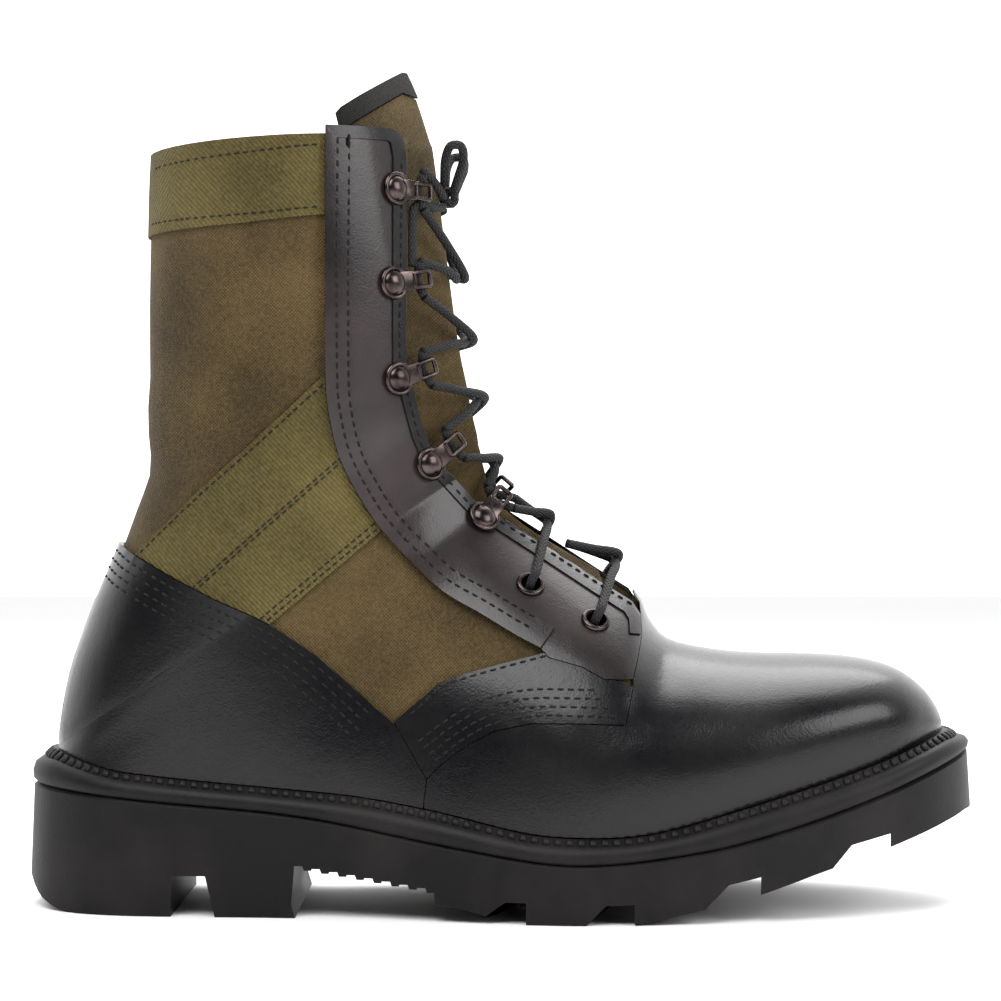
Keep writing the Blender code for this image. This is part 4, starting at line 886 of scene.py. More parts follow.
def tongue_sheet(form: LastForm, proud: float) -> BMesh:
    """A thick sheet under the throat, from the instep to above the collar.

    Args:
        form: The last.
        proud: How far it stands out on both faces.

    Returns:
        The mesh.
    """
    middle = form.columns // 2
    first = form.places.index(TONGUE_START)
    rows = range(first, len(form.rows))
    columns = range(middle - TONGUE_COLUMNS, middle + TONGUE_COLUMNS + 1)
    mesh = bmesh.new()
    grids = []
    for depth in (proud, -TONGUE - proud):
        grid = []
        for row in rows:
            line = []
            for column in columns:
                number = form.rows[row][column]
                lies = tongue_offset(form, row, column) + depth
                line.append(mesh.verts.new(form.offset(number, lies, False)))
            grid.append(line)
        grids.append(grid)
    top, under = grids
    height = len(top)
    width = len(top[0])
    for i in range(height - 1):
        for j in range(width - 1):
            mesh.faces.new((top[i][j], top[i][j + 1], top[i + 1][j + 1], top[i + 1][j]))
            mesh.faces.new((under[i][j], under[i + 1][j], under[i + 1][j + 1], under[i][j + 1]))
    for j in range(width - 1):
        mesh.faces.new((top[0][j + 1], top[0][j], under[0][j], under[0][j + 1]))
        last = height - 1
        mesh.faces.new((top[last][j], top[last][j + 1], under[last][j + 1], under[last][j]))
    for i in range(height - 1):
        mesh.faces.new((top[i][0], top[i + 1][0], under[i + 1][0], under[i][0]))
        end = width - 1
        mesh.faces.new((top[i + 1][end], top[i][end], under[i][end], under[i + 1][end]))
    bmesh.ops.triangulate(mesh, faces=mesh.faces)
    return mesh


class Fastener(NamedTuple):
    """A hook or an eyelet on the facing."""

    x: float     # share of LENGTH
    z: float     # share of UPPER_RISE above the heel's feather line
    turn: float  # degrees that a hook points up from straight ahead


HOOKS = [
    Fastener(-0.124, 0.934, 0), Fastener(-0.126, 0.777, 7), Fastener(-0.120, 0.619, 15),
    Fastener(-0.085, 0.477, 34), Fastener(-0.025, 0.381, 50),
]
EYELETS = [Fastener(0.030, 0.269, 0), Fastener(0.102, 0.210, 0)]


def frame_of(form: LastForm, side: float, fastener: Fastener) -> tuple:
    """Seat of a fastener on the upper, with its outward, forward and sideways directions.

    Args:
        form: The last.
        side: LATERAL or MEDIAL.
        fastener: The hook or eyelet.

    Returns:
        Seat, normal, ahead and across.
    """
    raised = THROAT_RAISE if side > 0 and fastener.z < HIGH_ON_SHAFT else 0.0
    seat, normal = form.hit(side, lx(fastener.x), uz(fastener.z) + raised)
    turn = math.radians(fastener.turn)
    ahead = Vector((math.cos(turn), 0, math.sin(turn)))
    ahead = (ahead - normal * ahead.dot(normal)).normalized()
    return seat, normal, ahead, normal.cross(ahead)


def hollow_at(form: LastForm, seat: Vector, normal: Vector, ahead: Vector) -> float:
    """How far the surface rises around a hook's rivet, where the upper is hollow.

    Args:
        form: The last.
        seat: Middle of its seat.
        normal: Outward direction there.
        ahead: Direction that the hook points in.

    Returns:
        The rise in metres.
    """
    across = normal.cross(ahead)
    rise = 0.0
    for i in range(HOOK_STEPS):
        turn = 2 * math.pi * i / HOOK_STEPS
        rim = seat + (ahead * math.cos(turn) + across * math.sin(turn)) * HOOK_RADIUS
        near, out, _, _ = form.tree.find_nearest(rim)
        rise = max(rise, (near - rim).dot(normal) / max(out.dot(normal), 0.5))
    return rise


def skin(mesh: BMesh, rings: list, looped: bool) -> None:
    """Join rings of as many corners each.

    Args:
        mesh: Mesh that takes the faces.
        rings: Rings of its vertices.
        looped: Whether the last ring joins the first; if not, both ends are capped.
    """
    count = len(rings[0])
    for i in range(len(rings) if looped else len(rings) - 1):
        low, high = rings[i], rings[(i + 1) % len(rings)]
        for k in range(count):
            j = (k + 1) % count
            mesh.faces.new((low[k], low[j], high[j], high[k]))
    if not looped:
        mesh.faces.new(rings[0][::-1])
        mesh.faces.new(rings[-1])


def turned(profile: list, steps: int) -> BMesh:
    """Turn a closed (radius, height) profile around Z.

    Args:
        profile: Closed section as (radius, height).
        steps: Steps around.

    Returns:
        The mesh.
    """
    mesh = bmesh.new()
    rings = []
    for i in range(steps):
        turn = 2 * math.pi * i / steps
        rings.append([mesh.verts.new((r * math.cos(turn), r * math.sin(turn), z)) for r, z in profile])
    skin(mesh, rings, True)
    bmesh.ops.recalc_face_normals(mesh, faces=mesh.faces)
    return mesh


def smooth_line(points: list, step: float) -> list:
    """Points of a smooth curve through a route's own points, about a step apart.

    Args:
        points: Points in order.
        step: Distance between points.

    Returns:
        The points.
    """
    places = [0.0]
    for a, b in zip(points, points[1:]):
        places.append(places[-1] + (b - a).length)
    count = max(2, round(places[-1] / step))
    line = []
    for i in range(count + 1):
        at = places[-1] * i / count
        line.append(Vector([hermite([p[k] for p in points], places, at) for k in range(3)]))
    return line


class Crossing(NamedTuple):
    """Where two strands cross over the ridge."""

    place: float   # section
    raised: float  # share of the facing's leather that it is lifted by


CROSSINGS = [
    Crossing(28.05, 0.0), Crossing(26.6, 0.0), Crossing(24.2, 0.0), Crossing(18.5, 0.3),
    Crossing(13.6, 1.3), Crossing(11.8, 1.5),
]
TUCK = 12.9   # section where the lowest crossing goes under the facings


def ridge_spot(place: float, proud: float, aside: float) -> Vector:
    """A point in front of the tongue's ridge at a section, with a step to one side.

    Args:
        place: Row of the table of sections, with a fraction.
        proud: How far it stands out on both faces.
        aside: Step towards the inner side.

    Returns:
        The point.
    """
    here = slice_at(place)
    after = slice_at(place + 0.1)
    along = Vector((after.ridge_x - here.ridge_x, 0, after.ridge_z - here.ridge_z)).normalized()
    out = Vector((along.z, 0, -along.x))
    return Vector((here.ridge_x, here.ridge_y + aside, here.ridge_z)) + out * proud


def lace_start(form: LastForm, side: float, spot: Fastener, is_hook: bool, upwards: bool) -> list:
    """Where a lace strand leaves a hook, above or below its loop, or an eyelet's hole.

    Args:
        form: The last.
        side: LATERAL or MEDIAL.
        spot: The hook or eyelet.
        is_hook: Whether it is a hook.
        upwards: Whether the strand leaves upwards.

    Returns:
        Points from there outwards.
    """
    seat, normal, ahead, across = frame_of(form, side, spot)
    lift = FACING_LEATHER + CLEAR
    if not is_hook and upwards:
        over = lift + EYELET_ROLL + LACE / 2 + CLEAR * 2
        toward = Vector((0.35, -side, 0.35)) - normal * normal.dot(Vector((0.35, -side, 0.35)))
        toward.normalize()
        bend = [seat]
        for i in range(BEND_STEPS + 1):
            turn = math.pi / 2 * i / BEND_STEPS
            bend.append(seat + toward * LACE_BEND * (1 - math.cos(turn))
                        + normal * (over - LACE_BEND * (1 - math.sin(turn))))
        return bend
    if not is_hook:
        edge = THROAT_MIDDLE + side * (THROAT_HALF - LACE * 0.9)
        tucked = ridge_spot(TUCK, LACE * 0.5 + LACE_LIFT, 0.0)
        return [Vector((tucked.x, edge, tucked.z))]
    up = across * (-side if upwards else side)
    aside = up * (HOOK_LOOP_WIDE / 2 + LACE)
    return [seat + ahead * (HOOK_REACH - HOOK_LOOP_LONG * 0.5) + aside + normal * (lift + HOOK_LIFT)]


def ridge_push(point: Vector, form: LastForm) -> Vector:
    """How far a lace point is pushed out to lie clear of the last's surface.

    Args:
        point: The point.
        form: The last.

    Returns:
        The push.
    """
    place, normal, _, distance = form.tree.find_nearest(point)
    if normal.dot(point - place) < 0:
        distance = -distance
    need = FACING_LEATHER + LACE / 2 + LACE_LIFT
    return normal * max(need - distance, 0.0)


KNOT = Vector((-0.0172, 0.0, 0.2320))
KNOT_HALF = 0.0034
BOW_LOOP = [
    (0.0016, -0.0056, 0.0024), (0.0030, -0.0090, 0.0062), (0.0046, -0.0132, 0.0112),
    (0.0038, -0.0168, 0.0150), (0.0006, -0.0172, 0.0150), (-0.0012, -0.0135, 0.0112),
    (-0.0016, -0.0092, 0.0068), (-0.0017, -0.0056, 0.0036),
]
LACE_END = [
    (-0.0008, -0.0056, -0.0036), (-0.0053, -0.0120, -0.0045), (-0.0088, -0.0168, -0.0040),
    (-0.0114, -0.0189, -0.0055), (-0.0119, -0.0196, -0.0100), (-0.0121, -0.0201, -0.0170),
    (-0.0122, -0.0204, -0.0245),
]


def free_route(offsets: list, side: float, form: LastForm, lies: bool) -> list:
    """A free lace route on one side, clear of the tongue, or lying on it all along.

    Args:
        offsets: Route from the knot.
        side: LATERAL or MEDIAL.
        form: The last.
        lies: Whether it lies on the tongue all along.

    Returns:
        The points.
    """
    points = [KNOT + Vector((x, -side * y, z)) for x, y, z in offsets]
    moved = []
    for point in points:
        near, normal, _, distance = form.tree.find_nearest(point)
        away = distance if normal.dot(point - near) > 0 else -distance
        need = LACE / 2 + LACE_LIFT - away
        moved.append(point + normal * (need if lies else max(need, 0.0)))
    return moved


def drill_mesh(form: LastForm, side: float, spot: Fastener) -> BMesh:
    """Cutter of the hole that an eyelet's barrel goes through.

    Args:
        form: The last.
        side: LATERAL or MEDIAL.
        spot: The hook or eyelet.

    Returns:
        The mesh.
    """
    seat, normal, ahead, across = frame_of(form, side, spot)
    mesh = bmesh.new()
    radius = EYELET_HOLE + EYELET_WALL
    deep = FACING_LEATHER + WALL + EYELET_RADIUS
    bmesh.ops.create_cone(mesh, cap_ends=True, segments=32, radius1=radius, radius2=radius, depth=2 * deep)
    turn = Matrix((ahead, across, normal)).transposed().to_4x4()
    bmesh.ops.transform(mesh, matrix=Matrix.Translation(seat) @ turn, verts=mesh.verts)
    return mesh


class Slot(Enum):
    """Material slots of the record that the visual pieces take their finish from."""

    RUBBER = "sole_rubber"
    LEATHER = "black_leather"
    FACING = "facing_leather"
    CANVAS = "olive_canvas"
    WEBBING = "olive_webbing"
    TAPE = "binding_tape"
    METAL = "dark_metal"
    LACE = "lace_cord"


class Graph:
    """Short hand for building a material's nodes."""

    def __init__(self, name: str) -> None:
        """Start a material with its Principled shader.

        Args:
            name: Name of the material.
        """
        self.material = bpy.data.materials.new(name)
        self.material.use_nodes = True
        self.tree = self.material.node_tree
        self.shader = self.tree.nodes["Principled BSDF"]

    def put(self, value: object, socket: object) -> None:
        """Link a socket, or set a constant, on an input.

        Args:
            value: A node output, or a number or colour.
            socket: The input that takes it.
        """
        if isinstance(value, NodeSocket):
            self.tree.links.new(value, socket)
        else:
            socket.default_value = value

    def math(self, kind: str, a: object, b: object = 0.0) -> NodeSocket:
        """Add a Math node.

        Args:
            kind: Operation, such as MULTIPLY.
            a: First value or socket.
            b: Second value or socket.

        Returns:
            Its output.
        """
        node = self.tree.nodes.new("ShaderNodeMath")
        node.operation = kind
        self.put(a, node.inputs[0])
        self.put(b, node.inputs[1])
        return node.outputs[0]

    def noise(self, place: object, scale: float, detail: float = 4.0) -> NodeSocket:
        """Add a noise texture.

        Args:
            place: Coordinates.
            scale: Features for each metre.
            detail: Octaves.

        Returns:
            Its grey output.
        """
        node = self.tree.nodes.new("ShaderNodeTexNoise")
        self.put(place, node.inputs["Vector"])
        node.inputs["Scale"].default_value = scale
        node.inputs["Detail"].default_value = detail
        return node.outputs[0]

    def cells(self, place: object, scale: float) -> NodeSocket:
        """Add a cell texture, for the grain of leather.

        Args:
            place: Coordinates.
            scale: Cells for each metre.

        Returns:
            Distance to the nearest cell point.
        """
        node = self.tree.nodes.new("ShaderNodeTexVoronoi")
        self.put(place, node.inputs["Vector"])
        node.inputs["Scale"].default_value = scale
        return node.outputs["Distance"]

    def ramp(self, value: object, low: tuple, high: tuple, start: float = 0.0, end: float = 1.0) -> object:
        """Blend two colours by a value.

        Args:
            value: The grey socket.
            low: Colour at start.
            high: Colour at end.
            start: Value of the low colour.
            end: Value of the high colour.

        Returns:
            The colour output.
        """
        node = self.tree.nodes.new("ShaderNodeValToRGB")
        node.color_ramp.elements[0].position = start
        node.color_ramp.elements[0].color = (*low, 1.0)
        node.color_ramp.elements[1].position = end
        node.color_ramp.elements[1].color = (*high, 1.0)
        self.put(value, node.inputs[0])
        return node.outputs[0]

    def mix(self, share: object, a: object, b: object, kind: str = "MIX") -> NodeSocket:
        """Mix two colours.

        Args:
            share: Factor.
            a: First colour.
            b: Second colour.
            kind: Blend type.

        Returns:
            The colour output.
        """
        node = self.tree.nodes.new("ShaderNodeMix")
        node.data_type = "RGBA"
        node.blend_type = kind
        self.put(share, node.inputs[0])
        self.put(a, node.inputs[6])
        self.put(b, node.inputs[7])
        return node.outputs[2]

    def bump(self, height: object, distance: float, strength: float = 1.0, under: object = None) -> object:
        """Add a bump node.

        Args:
            height: The grey socket.
            distance: Height in metres of a full step.
            strength: Share of the effect.
            under: Normal output of an earlier bump.

        Returns:
            The normal output.
        """
        node = self.tree.nodes.new("ShaderNodeBump")
        node.inputs["Distance"].default_value = distance
        node.inputs["Strength"].default_value = strength
        self.put(height, node.inputs["Height"])
        if under is not None:
            self.put(under, node.inputs["Normal"])
        return node.outputs[0]

    def object_place(self) -> NodeSocket:
        """Object coordinates."""
        return self.tree.nodes.new("ShaderNodeTexCoord").outputs["Object"]

    def cloth_place(self, turn: float) -> tuple:
        """Coordinates along a cloth's two threads, from whichever plane the surface faces.

        Args:
            turn: Degrees that the cloth is turned in the side view.

        Returns:
            The two thread coordinates.
        """
        split = self.tree.nodes.new("ShaderNodeSeparateXYZ")
        self.put(self.object_place(), split.inputs[0])
        facing = self.tree.nodes.new("ShaderNodeSeparateXYZ")
        self.put(self.tree.nodes.new("ShaderNodeNewGeometry").outputs["Normal"], facing.inputs[0])
        ahead = self.math("GREATER_THAN", self.math("ABSOLUTE", facing.outputs[0]), 0.72)
        away = self.math("SUBTRACT", 1.0, ahead)
        level = self.math("ADD", self.math("MULTIPLY", split.outputs[0], away),
                          self.math("MULTIPLY", split.outputs[1], ahead))
        cos = math.cos(math.radians(turn))
        sin = math.sin(math.radians(turn))
        u = self.math("ADD", self.math("MULTIPLY", level, cos), self.math("MULTIPLY", split.outputs[2], sin))
        v = self.math("SUBTRACT", self.math("MULTIPLY", split.outputs[2], cos),
                      self.math("MULTIPLY", level, sin))
        return u, v

    def finish(self, colour: object, roughness: object, normal: object, **more: float) -> Material:
        """Set the shader's inputs.

        Args:
            colour: Base colour.
            roughness: Roughness.
            normal: Normal output of the last bump.
            **more: Other shader inputs, with underscores for spaces.

        Returns:
            The material.
        """
        self.put(colour, self.shader.inputs["Base Color"])
        self.put(roughness, self.shader.inputs["Roughness"])
        self.put(normal, self.shader.inputs["Normal"])
        for name, value in more.items():
            self.put(value, self.shader.inputs[name.replace("_", " ")])
        return self.material


@dataclass(frozen=True)
class ClothFinish:
    """Woven cloth: thread pitches in metres, colours from dark to light, and painted shade in the weave's
    hollows.
    """

    name: str
    dark: tuple
    light: tuple
    along: float
    across: float
    turn: float = 0.0
    ribs: float = 0.0
    depth: float = 0.00030
    sheen: float = 0.04

    def build(self) -> Material:
        """Make the material.

        Returns:
            The material.
        """
        g = Graph(self.name)
        u, v = g.cloth_place(self.turn)
        place = g.object_place()
        wave_u = g.math("SINE", g.math("MULTIPLY", u, 2 * math.pi / self.along))
        wave_v = g.math("SINE", g.math("MULTIPLY", v, 2 * math.pi / self.across))
        crossed = g.math("MULTIPLY", wave_u, wave_v)
        weave = g.math("ADD", g.math("MULTIPLY", crossed, 0.5 - self.ribs / 2), 0.5)
        height = g.math("ADD", weave, g.math("MULTIPLY", wave_u, self.ribs / 2))
        worn = g.noise(place, 28.0, 5.0)
        thread = g.noise(place, 900.0, 2.0)
        tone = g.math("ADD", g.math("MULTIPLY", worn, 0.62), g.math("MULTIPLY", thread, 0.38))
        colour = g.ramp(tone, self.dark, self.light, 0.36, 0.66)
        # painted shade: by the weave's height, the colour is darkened down to (0.62, 0.60, 0.56) in its low
        # hollows
        shade = g.ramp(height, (0.62, 0.60, 0.56), (1.0, 1.0, 1.0), 0.1, 0.8)
        colour = g.mix(1.0, colour, shade, "MULTIPLY")
        soft = g.bump(g.noise(place, 60.0, 3.0), 0.0012, 0.35)
        normal = g.bump(height, self.depth, 0.8, soft)
        return g.finish(colour, 0.88, normal, Sheen_Weight=self.sheen,
                        Sheen_Roughness=0.5, Specular_IOR_Level=0.2)


@dataclass(frozen=True)
class LeatherFinish:
    """Polished leather with fine grain, slight wrinkles and uneven gloss."""

    name: str
    dark: tuple
    light: tuple
    gloss: float
    coat: float

    def build(self) -> Material:
        """Make the material.

        Returns:
            The material.
        """
        g = Graph(self.name)
        place = g.object_place()
        cloudy = g.noise(place, 22.0, 5.0)
        colour = g.ramp(cloudy, self.dark, self.light, 0.40, 0.68)
        grain = g.cells(place, 1500.0)
        fold = g.noise(place, 95.0, 3.0)
        worn = g.noise(place, 420.0, 3.0)
        rough = g.math("ADD", g.math("MULTIPLY", cloudy, 0.22), self.gloss - 0.10)
        rough = g.math("ADD", rough, g.math("MULTIPLY", worn, 0.08))
        first = g.bump(fold, 0.0005, 0.22)
        second = g.bump(worn, 0.00014, 0.35, first)
        normal = g.bump(grain, 0.00008, 0.5, second)
        return g.finish(colour, rough, normal, Coat_Weight=self.coat, Coat_Roughness=0.14,
                        Specular_IOR_Level=0.26)


@dataclass(frozen=True)
class RubberFinish:
    """Moulded rubber with a dusty, slightly pitted skin."""

    name: str
    dark: tuple
    light: tuple

    def build(self) -> Material:
        """Make the material.

        Returns:
            The material.
        """
        g = Graph(self.name)
        place = g.object_place()
        dust = g.noise(place, 40.0, 6.0)
        colour = g.ramp(dust, self.dark, self.light, 0.42, 0.75)
        pits = g.noise(place, 1300.0, 3.0)
        rough = g.math("ADD", g.math("MULTIPLY", dust, 0.25), 0.40)
        soft = g.bump(g.noise(place, 120.0, 3.0), 0.0004, 0.3)
        return g.finish(colour, rough, g.bump(pits, 0.00016, 0.7, soft), Specular_IOR_Level=0.20)


@dataclass(frozen=True)
class MetalFinish:
    """Satin plated metal with fine scratches."""

    name: str
    dark: tuple
    light: tuple

    def build(self) -> Material:
        """Make the material.

        Returns:
            The material.
        """
        g = Graph(self.name)
        place = g.object_place()
        tone = g.noise(place, 260.0, 4.0)
        colour = g.ramp(tone, self.dark, self.light, 0.35, 0.7)
        rough = g.math("ADD", g.math("MULTIPLY", g.noise(place, 900.0, 2.0), 0.18), 0.16)
        return g.finish(colour, rough, g.bump(tone, 0.00008, 0.4), Metallic=1.0)


@dataclass(frozen=True)
class BraidFinish:
    """Round braided cord: plaits that run both ways around it, on the piece's own map, with painted shade in
    their grooves and painted highlight on their crowns.
    """

    name: str
    dark: tuple
    light: tuple
    turns: float = 8.0

    def build(self) -> Material:
        """Make the material.

        Returns:
            The material.
        """
        g = Graph(self.name)
        node = g.tree.nodes.new("ShaderNodeUVMap")
        node.uv_map = "lay"
        split = g.tree.nodes.new("ShaderNodeSeparateXYZ")
        g.put(node.outputs[0], split.inputs[0])
        around = g.math("MULTIPLY", split.outputs[0], 2 * math.pi * self.turns / 2)
        along = g.math("MULTIPLY", split.outputs[1], 2 * math.pi / 0.0042)
        one = g.math("ABSOLUTE", g.math("SINE", g.math("ADD", around, along)))
        two = g.math("ABSOLUTE", g.math("SINE", g.math("SUBTRACT", around, along)))
        plait = g.math("MULTIPLY", one, two)
        fuzz = g.noise(g.object_place(), 1500.0, 2.0)
        height = g.math("ADD", plait, g.math("MULTIPLY", fuzz, 0.25))
        # painted shade and highlight: the colour runs from dark in the plaits' grooves to light on their
        # crowns, with random fuzz mixed into the tone
        colour = g.ramp(height, self.dark, self.light, 0.05, 0.95)
        return g.finish(colour, 0.72, g.bump(height, 0.00035, 0.9), Specular_IOR_Level=0.3)


FINISHES = {
    Slot.RUBBER: RubberFinish("moulded_rubber", (0.0040, 0.0034, 0.0034), (0.0120, 0.0098, 0.0096)),
    Slot.LEATHER: LeatherFinish("polished_leather", (0.0022, 0.0023, 0.0031), (0.0066, 0.0060, 0.0064),
                                0.24, 0.10),
    Slot.FACING: LeatherFinish("brown_black_leather", (0.0060, 0.0043, 0.0045), (0.0330, 0.0225, 0.0228),
                               0.27, 0.20),
    Slot.CANVAS: ClothFinish("olive_canvas_weave", (0.040, 0.0270, 0.0098), (0.108, 0.0730, 0.0285),
                             0.0011, 0.0011),
    Slot.WEBBING: ClothFinish("olive_webbing_weave", (0.052, 0.0410, 0.0120), (0.130, 0.1040, 0.0340), 0.0012,
                              0.0009, 43.0, 0.6, 0.00045),
    Slot.TAPE: ClothFinish("black_tape_weave", (0.006, 0.006, 0.006), (0.020, 0.018, 0.017), 0.0009, 0.0009),
    Slot.METAL: MetalFinish("gunmetal_plate", (0.030, 0.0235, 0.0230), (0.095, 0.0720, 0.0690)),
    # the lace runs from its dark colour in the plaits' grooves, painted shade, to its light colour on their
    # crowns, painted highlight
    Slot.LACE: BraidFinish("black_braid", (0.0008, 0.0008, 0.0009), (0.0200, 0.0192, 0.0196)),
}


class Bench:
    """Makes, cuts and hands over the visual pieces."""

    def __init__(self) -> None:
        """Start with no materials made."""
        self.materials: dict = {}

    def finish(self, slot: Slot) -> Material:
        """Find or make the material of a slot."""
        if slot not in self.materials:
            self.materials[slot] = FINISHES[slot].build()
        return self.materials[slot]

    def piece(self, name: str, slot: Slot, mesh: BMesh) -> Object:
        """Make an object from a mesh in hand.

        Args:
            name: Name of the object.
            slot: Its material slot.
            mesh: The mesh, which is freed.

        Returns:
            The object.
        """
        data = bpy.data.meshes.new(name)
        mesh.to_mesh(data)
        mesh.free()
        data.materials.append(self.finish(slot))
        made = bpy.data.objects.new(name, data)
        bpy.context.scene.collection.objects.link(made)
        return made

    def cut(self, piece: Object, mesh: BMesh, how: str) -> None:
        """Apply a Boolean with a cutter made from a mesh.

        Args:
            piece: Object that is cut.
            mesh: Cutter's mesh, which is freed.
            how: INTERSECT, DIFFERENCE or UNION.
        """
        bmesh.ops.recalc_face_normals(mesh, faces=mesh.faces)
        data = bpy.data.meshes.new("cutter")
        mesh.to_mesh(data)
        mesh.free()
        cutter = bpy.data.objects.new("cutter", data)
        bpy.context.scene.collection.objects.link(cutter)
        change = piece.modifiers.new("cut", "BOOLEAN")
        change.operation = how
        change.solver = "MANIFOLD"
        change.object = cutter
        self.apply(piece, change.name)
        bpy.data.objects.remove(cutter, do_unlink=True)

    def apply(self, piece: Object, modifier: str) -> None:
        """Apply a modifier as by hand.

        Args:
            piece: The object.
            modifier: Name of the modifier.
        """
        bpy.ops.object.select_all(action="DESELECT")
        bpy.context.view_layer.objects.active = piece
        piece.select_set(True)
        bpy.ops.object.modifier_apply(modifier=modifier)

    def join(self, piece: Object, other: Object) -> None:
        """Join another piece to a piece as by hand.

        Args:
            piece: The piece that stays.
            other: The piece that it takes in.
        """
        bpy.ops.object.select_all(action="DESELECT")
        other.select_set(True)
        piece.select_set(True)
        bpy.context.view_layer.objects.active = piece
        bpy.ops.object.join()

    def smooth(self, piece: Object, degrees: float) -> None:
        """Shade smooth with sharp edges kept."""
        piece.data.shade_smooth()
        piece.data.set_sharp_from_angle(angle=math.radians(degrees))

    def hand_over(self, piece: Object, slot: Slot, nodes: list) -> None:
        """Args:
            piece: The finished object.
            slot: Its material slot; not used.
            nodes: CAD nodes that it stands for.
        """
        piece.data.transform(Matrix.Translation(Vector((0.0, FRAME_Y, 0.0))))
        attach(piece, "root")
        if nodes:
            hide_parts(*nodes)
        LOG.info("%s: %d faces", piece.name, len(piece.data.polygons))


def offset_line(outline: list, first: int, last: int, inwards: float) -> list:
    """Part of an outline moved inwards, for a seam.

    Args:
        outline: Closed outline in the side view.
        first: First corner.
        last: Last corner.
        inwards: Distance in metres.

    Returns:
        The moved corners.
    """
    return grown_outline(outline, -inwards)[first:last + 1]


def curved_2d(points: list, step: float) -> list:
    """A smooth line through side-view points, with points a step apart."""
    line = smooth_line([Vector((x, 0.0, z)) for x, z in points], step)
    return [(p.x, p.z) for p in line]


@dataclass
class Stitching:
    """Rows of thread stitches over seams, gathered into one piece."""

    name: str
    slot: Slot
    pitch: float = 0.0032
    length: float = 0.0023
    radius: float = 0.00036
    sides: int = 6

    def __post_init__(self) -> None:
        """Start an empty mesh."""
        self.mesh = bmesh.new()

    def stitch(self, middle: Vector, along: Vector, out: Vector) -> None:
        """Add one stitch: a short thread that dips into the surface at both ends.

        Args:
            middle: Its middle on the surface.
            along: Direction of the seam.
            out: Surface normal.
        """
        across = out.cross(along)
        rings = []
        for place, width, sink in STITCH_RINGS:
            centre = middle + along * place * self.length + out * self.radius * (STITCH_PROUD - sink)
            ring = []
            for k in range(self.sides):
                turn = 2 * math.pi * k / self.sides
                away = across * math.cos(turn) + out * math.sin(turn)
                ring.append(self.mesh.verts.new(centre + away * self.radius * width))
            rings.append(ring)
        skin(self.mesh, rings, False)

    def seam(self, form: "LastForm", side: float, line: list, lift: float) -> None:
        """Add stitches along a side-view line.

        Args:
            form: The last.
            side: LATERAL or MEDIAL.
            line: Side-view points in metres.
            lift: Height of the panel's face above the last.
        """
        spots = []
        for x, z in curved_2d(line, self.pitch / 4):
            place, normal = form.hit(side, x, z)
            if place is not None:
                spots.append((place + normal * lift, normal))
        run = 0.0
        for before, here in zip(spots, spots[1:]):
            step = here[0] - before[0]
            run += step.length
            if run >= self.pitch and step.length > 1e-7:
                run = 0.0
                along = step - here[1] * step.dot(here[1])
                self.stitch(here[0], along.normalized(), here[1])

    def done(self, bench: Bench) -> Object:
        """Make the piece and hand it over.

        Args:
            bench: The bench that makes it.

        Returns:
            The piece.
        """
        bmesh.ops.recalc_face_normals(self.mesh, faces=self.mesh.faces)
        made = bench.piece(self.name, self.slot, self.mesh)
        made.data.shade_smooth()
        bench.hand_over(made, self.slot, [])
        return made


